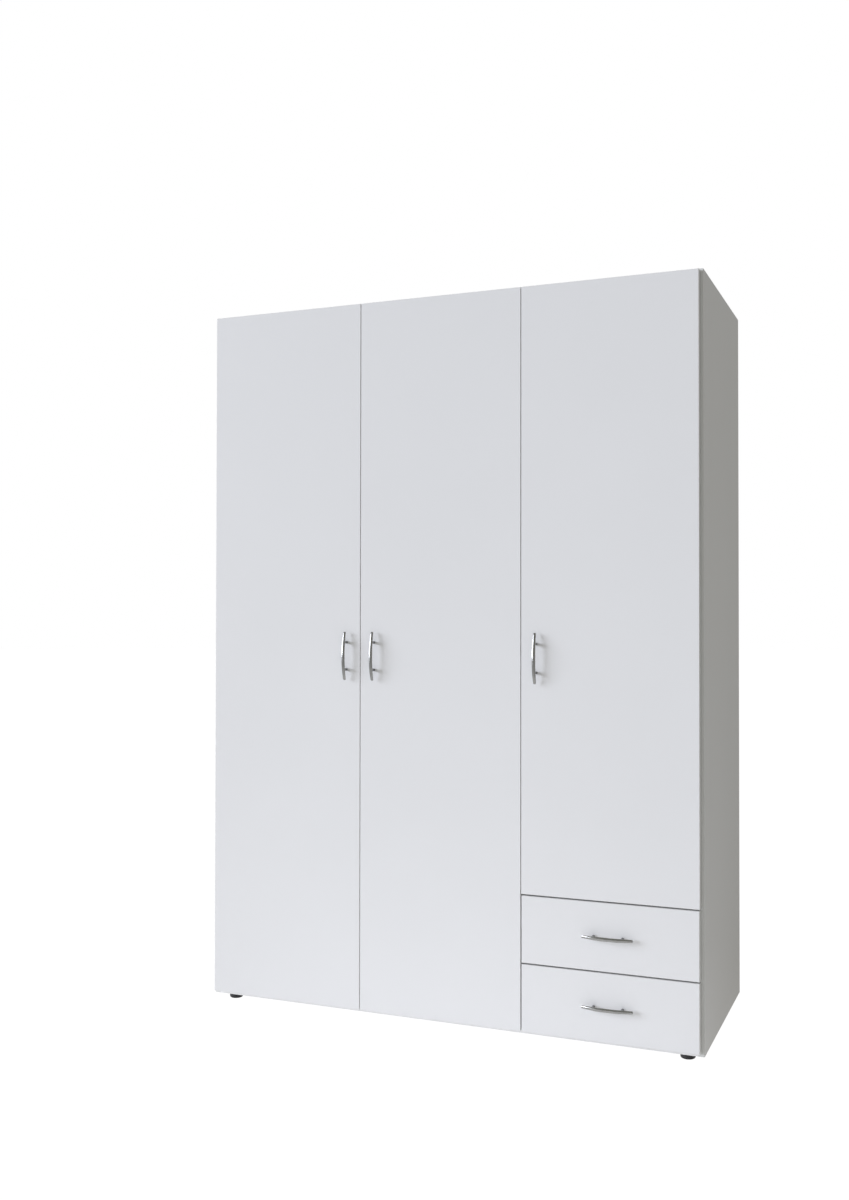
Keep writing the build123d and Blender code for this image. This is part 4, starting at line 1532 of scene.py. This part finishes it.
@dataclass
class Studio:
    """Floor, soft lights and the camera."""

    floor_radius: float = 40.0
    floor_shade: Colour = (0.8, 0.8, 0.8)
    floor_roughness: float = 0.9
    floor_gloss: float = 0.1
    eye_right: float = 1.194
    eye_away: float = 2.984
    eye_height: float = 1.06
    turn: float = math.radians(22.45)
    tilt: float = math.radians(0.84)
    roll: float = math.radians(-0.076)
    lens: float = 37.36
    key_way: Colour = (0.84, 0.52, -0.16)
    key_spread: float = math.radians(34.0)
    key_strength: float = 2.95
    key_tint: Colour = (0.92, 0.96, 1.06)
    sky: Colour = (1.0, 0.985, 0.9)
    sky_strength: float = 0.36
    pool_centre: Colour = (0.2, 1.2, 0.0)
    pool: tuple[float, float] = (0.4, 2.4)
    pool_glow: float = 0.48
    pool_tint: Colour = (1.0, 0.99, 0.98)
    paper_glow: float = 1.06
    paper_share: float = 0.94

    def floor(self) -> None:
        """Pale seamless floor with a painted pool of glowing light round the wardrobe."""
        bpy.ops.mesh.primitive_circle_add(vertices=96, radius=self.floor_radius, fill_type="NGON")
        floor = bpy.context.object
        floor.name = "studio_floor"
        graph = Graph("studio_floor")
        graph.set("Base Color", self.floor_shade)
        graph.set("Roughness", self.floor_roughness)
        graph.set("Specular IOR Level", self.floor_gloss)
        moved = graph.node("ShaderNodeMapping")
        graph.feed(moved.inputs["Vector"], graph.place)
        moved.inputs["Location"].default_value = self.pool_centre
        distance = graph.node("ShaderNodeVectorMath")
        distance.operation = "LENGTH"
        graph.feed(distance.inputs[0], moved.outputs[0])
        # Painted light: the floor glows in a pool round the wardrobe, fading with distance.
        pool = graph.node("ShaderNodeMapRange")
        pool.inputs["From Min"].default_value = self.pool[0]
        pool.inputs["From Max"].default_value = self.pool[1]
        pool.inputs["To Min"].default_value = self.pool_glow
        pool.inputs["To Max"].default_value = 0.0
        graph.feed(pool.inputs["Value"], distance.outputs["Value"])
        graph.set("Emission Color", self.pool_tint)
        graph.set("Emission Strength", pool.outputs[0])
        self.whiten(graph)
        floor.data.materials.append(graph.material)

    def whiten(self, graph: Graph) -> None:
        """Let the floor be seen almost white, as a paper sweep is in a studio.

        Args:
            graph: The floor's material.
        """
        output = next(node for node in graph.tree.nodes if node.type == "OUTPUT_MATERIAL")
        paper = graph.node("ShaderNodeEmission")
        paper.inputs["Color"].default_value = (1.0, 1.0, 1.0, 1.0)
        paper.inputs["Strength"].default_value = self.paper_glow
        looked_at = graph.node("ShaderNodeLightPath").outputs["Is Camera Ray"]
        seen = graph.math("MULTIPLY", looked_at, self.paper_share)
        blend = graph.node("ShaderNodeMixShader")
        graph.feed(blend.inputs[0], seen)
        graph.feed(blend.inputs[1], graph.shader.outputs["BSDF"])
        graph.feed(blend.inputs[2], paper.outputs[0])
        graph.feed(output.inputs["Surface"], blend.outputs[0])

    def world(self) -> None:
        """Even pale surroundings: white where they are seen, softer as a light."""
        world = bpy.data.worlds.new("studio")
        bpy.context.scene.world = world
        world.use_nodes = True
        tree = world.node_tree
        tree.nodes.clear()
        output = tree.nodes.new("ShaderNodeOutputWorld")
        mix = tree.nodes.new("ShaderNodeMixShader")
        seen = tree.nodes.new("ShaderNodeBackground")
        seen.inputs["Color"].default_value = (1.0, 1.0, 1.0, 1.0)
        seen.inputs["Strength"].default_value = 1.0
        light = tree.nodes.new("ShaderNodeBackground")
        light.inputs["Color"].default_value = (*self.sky, 1.0)
        light.inputs["Strength"].default_value = self.sky_strength
        path = tree.nodes.new("ShaderNodeLightPath")
        tree.links.new(path.outputs["Is Camera Ray"], mix.inputs[0])
        tree.links.new(light.outputs[0], mix.inputs[1])
        tree.links.new(seen.outputs[0], mix.inputs[2])
        tree.links.new(mix.outputs[0], output.inputs[0])

    def key(self) -> None:
        """Large distant soft light from the front left, slightly above."""
        data = bpy.data.lights.new("key", "SUN")
        data.angle = self.key_spread
        data.energy = self.key_strength
        data.color = self.key_tint
        lamp = bpy.data.objects.new("key", data)
        bpy.context.scene.collection.objects.link(lamp)
        lamp.rotation_euler = Vector(self.key_way).to_track_quat("-Z", "Y").to_euler()

    def camera(self) -> None:
        """Camera at eye height, to the right of the wardrobe."""
        data = bpy.data.cameras.new("eye")
        data.lens = self.lens
        data.clip_end = 200.0
        eye = bpy.data.objects.new("eye", data)
        bpy.context.scene.collection.objects.link(eye)
        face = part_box("door_left")[0].y
        place = Matrix.Translation((self.eye_right, face - self.eye_away, self.eye_height))
        upright = Matrix.Rotation(math.radians(90), 4, "X")
        eye.matrix_world = (place @ Matrix.Rotation(self.turn, 4, "Z")
                            @ Matrix.Rotation(self.tilt, 4, "X")
                            @ Matrix.Rotation(self.roll, 4, "Y") @ upright)
        bpy.context.scene.camera = eye

    def build(self) -> None:
        """Set up the studio."""
        scene = bpy.context.scene
        scene.view_settings.view_transform = "Standard"
        self.floor()
        self.world()
        self.key()
        self.camera()


def main() -> None:
    """Build the wardrobe's looks and log each assembly as it is done."""
    logging.basicConfig(level=logging.INFO, format="%(name)s: %(message)s")
    for assembly in (Boards(), Carried(), Handles(), Hinges(), Turnings(), Screws(), Studio()):
        assembly.build()
        log.info("%s done", type(assembly).__name__)


if __name__ == "__main__":
    main()
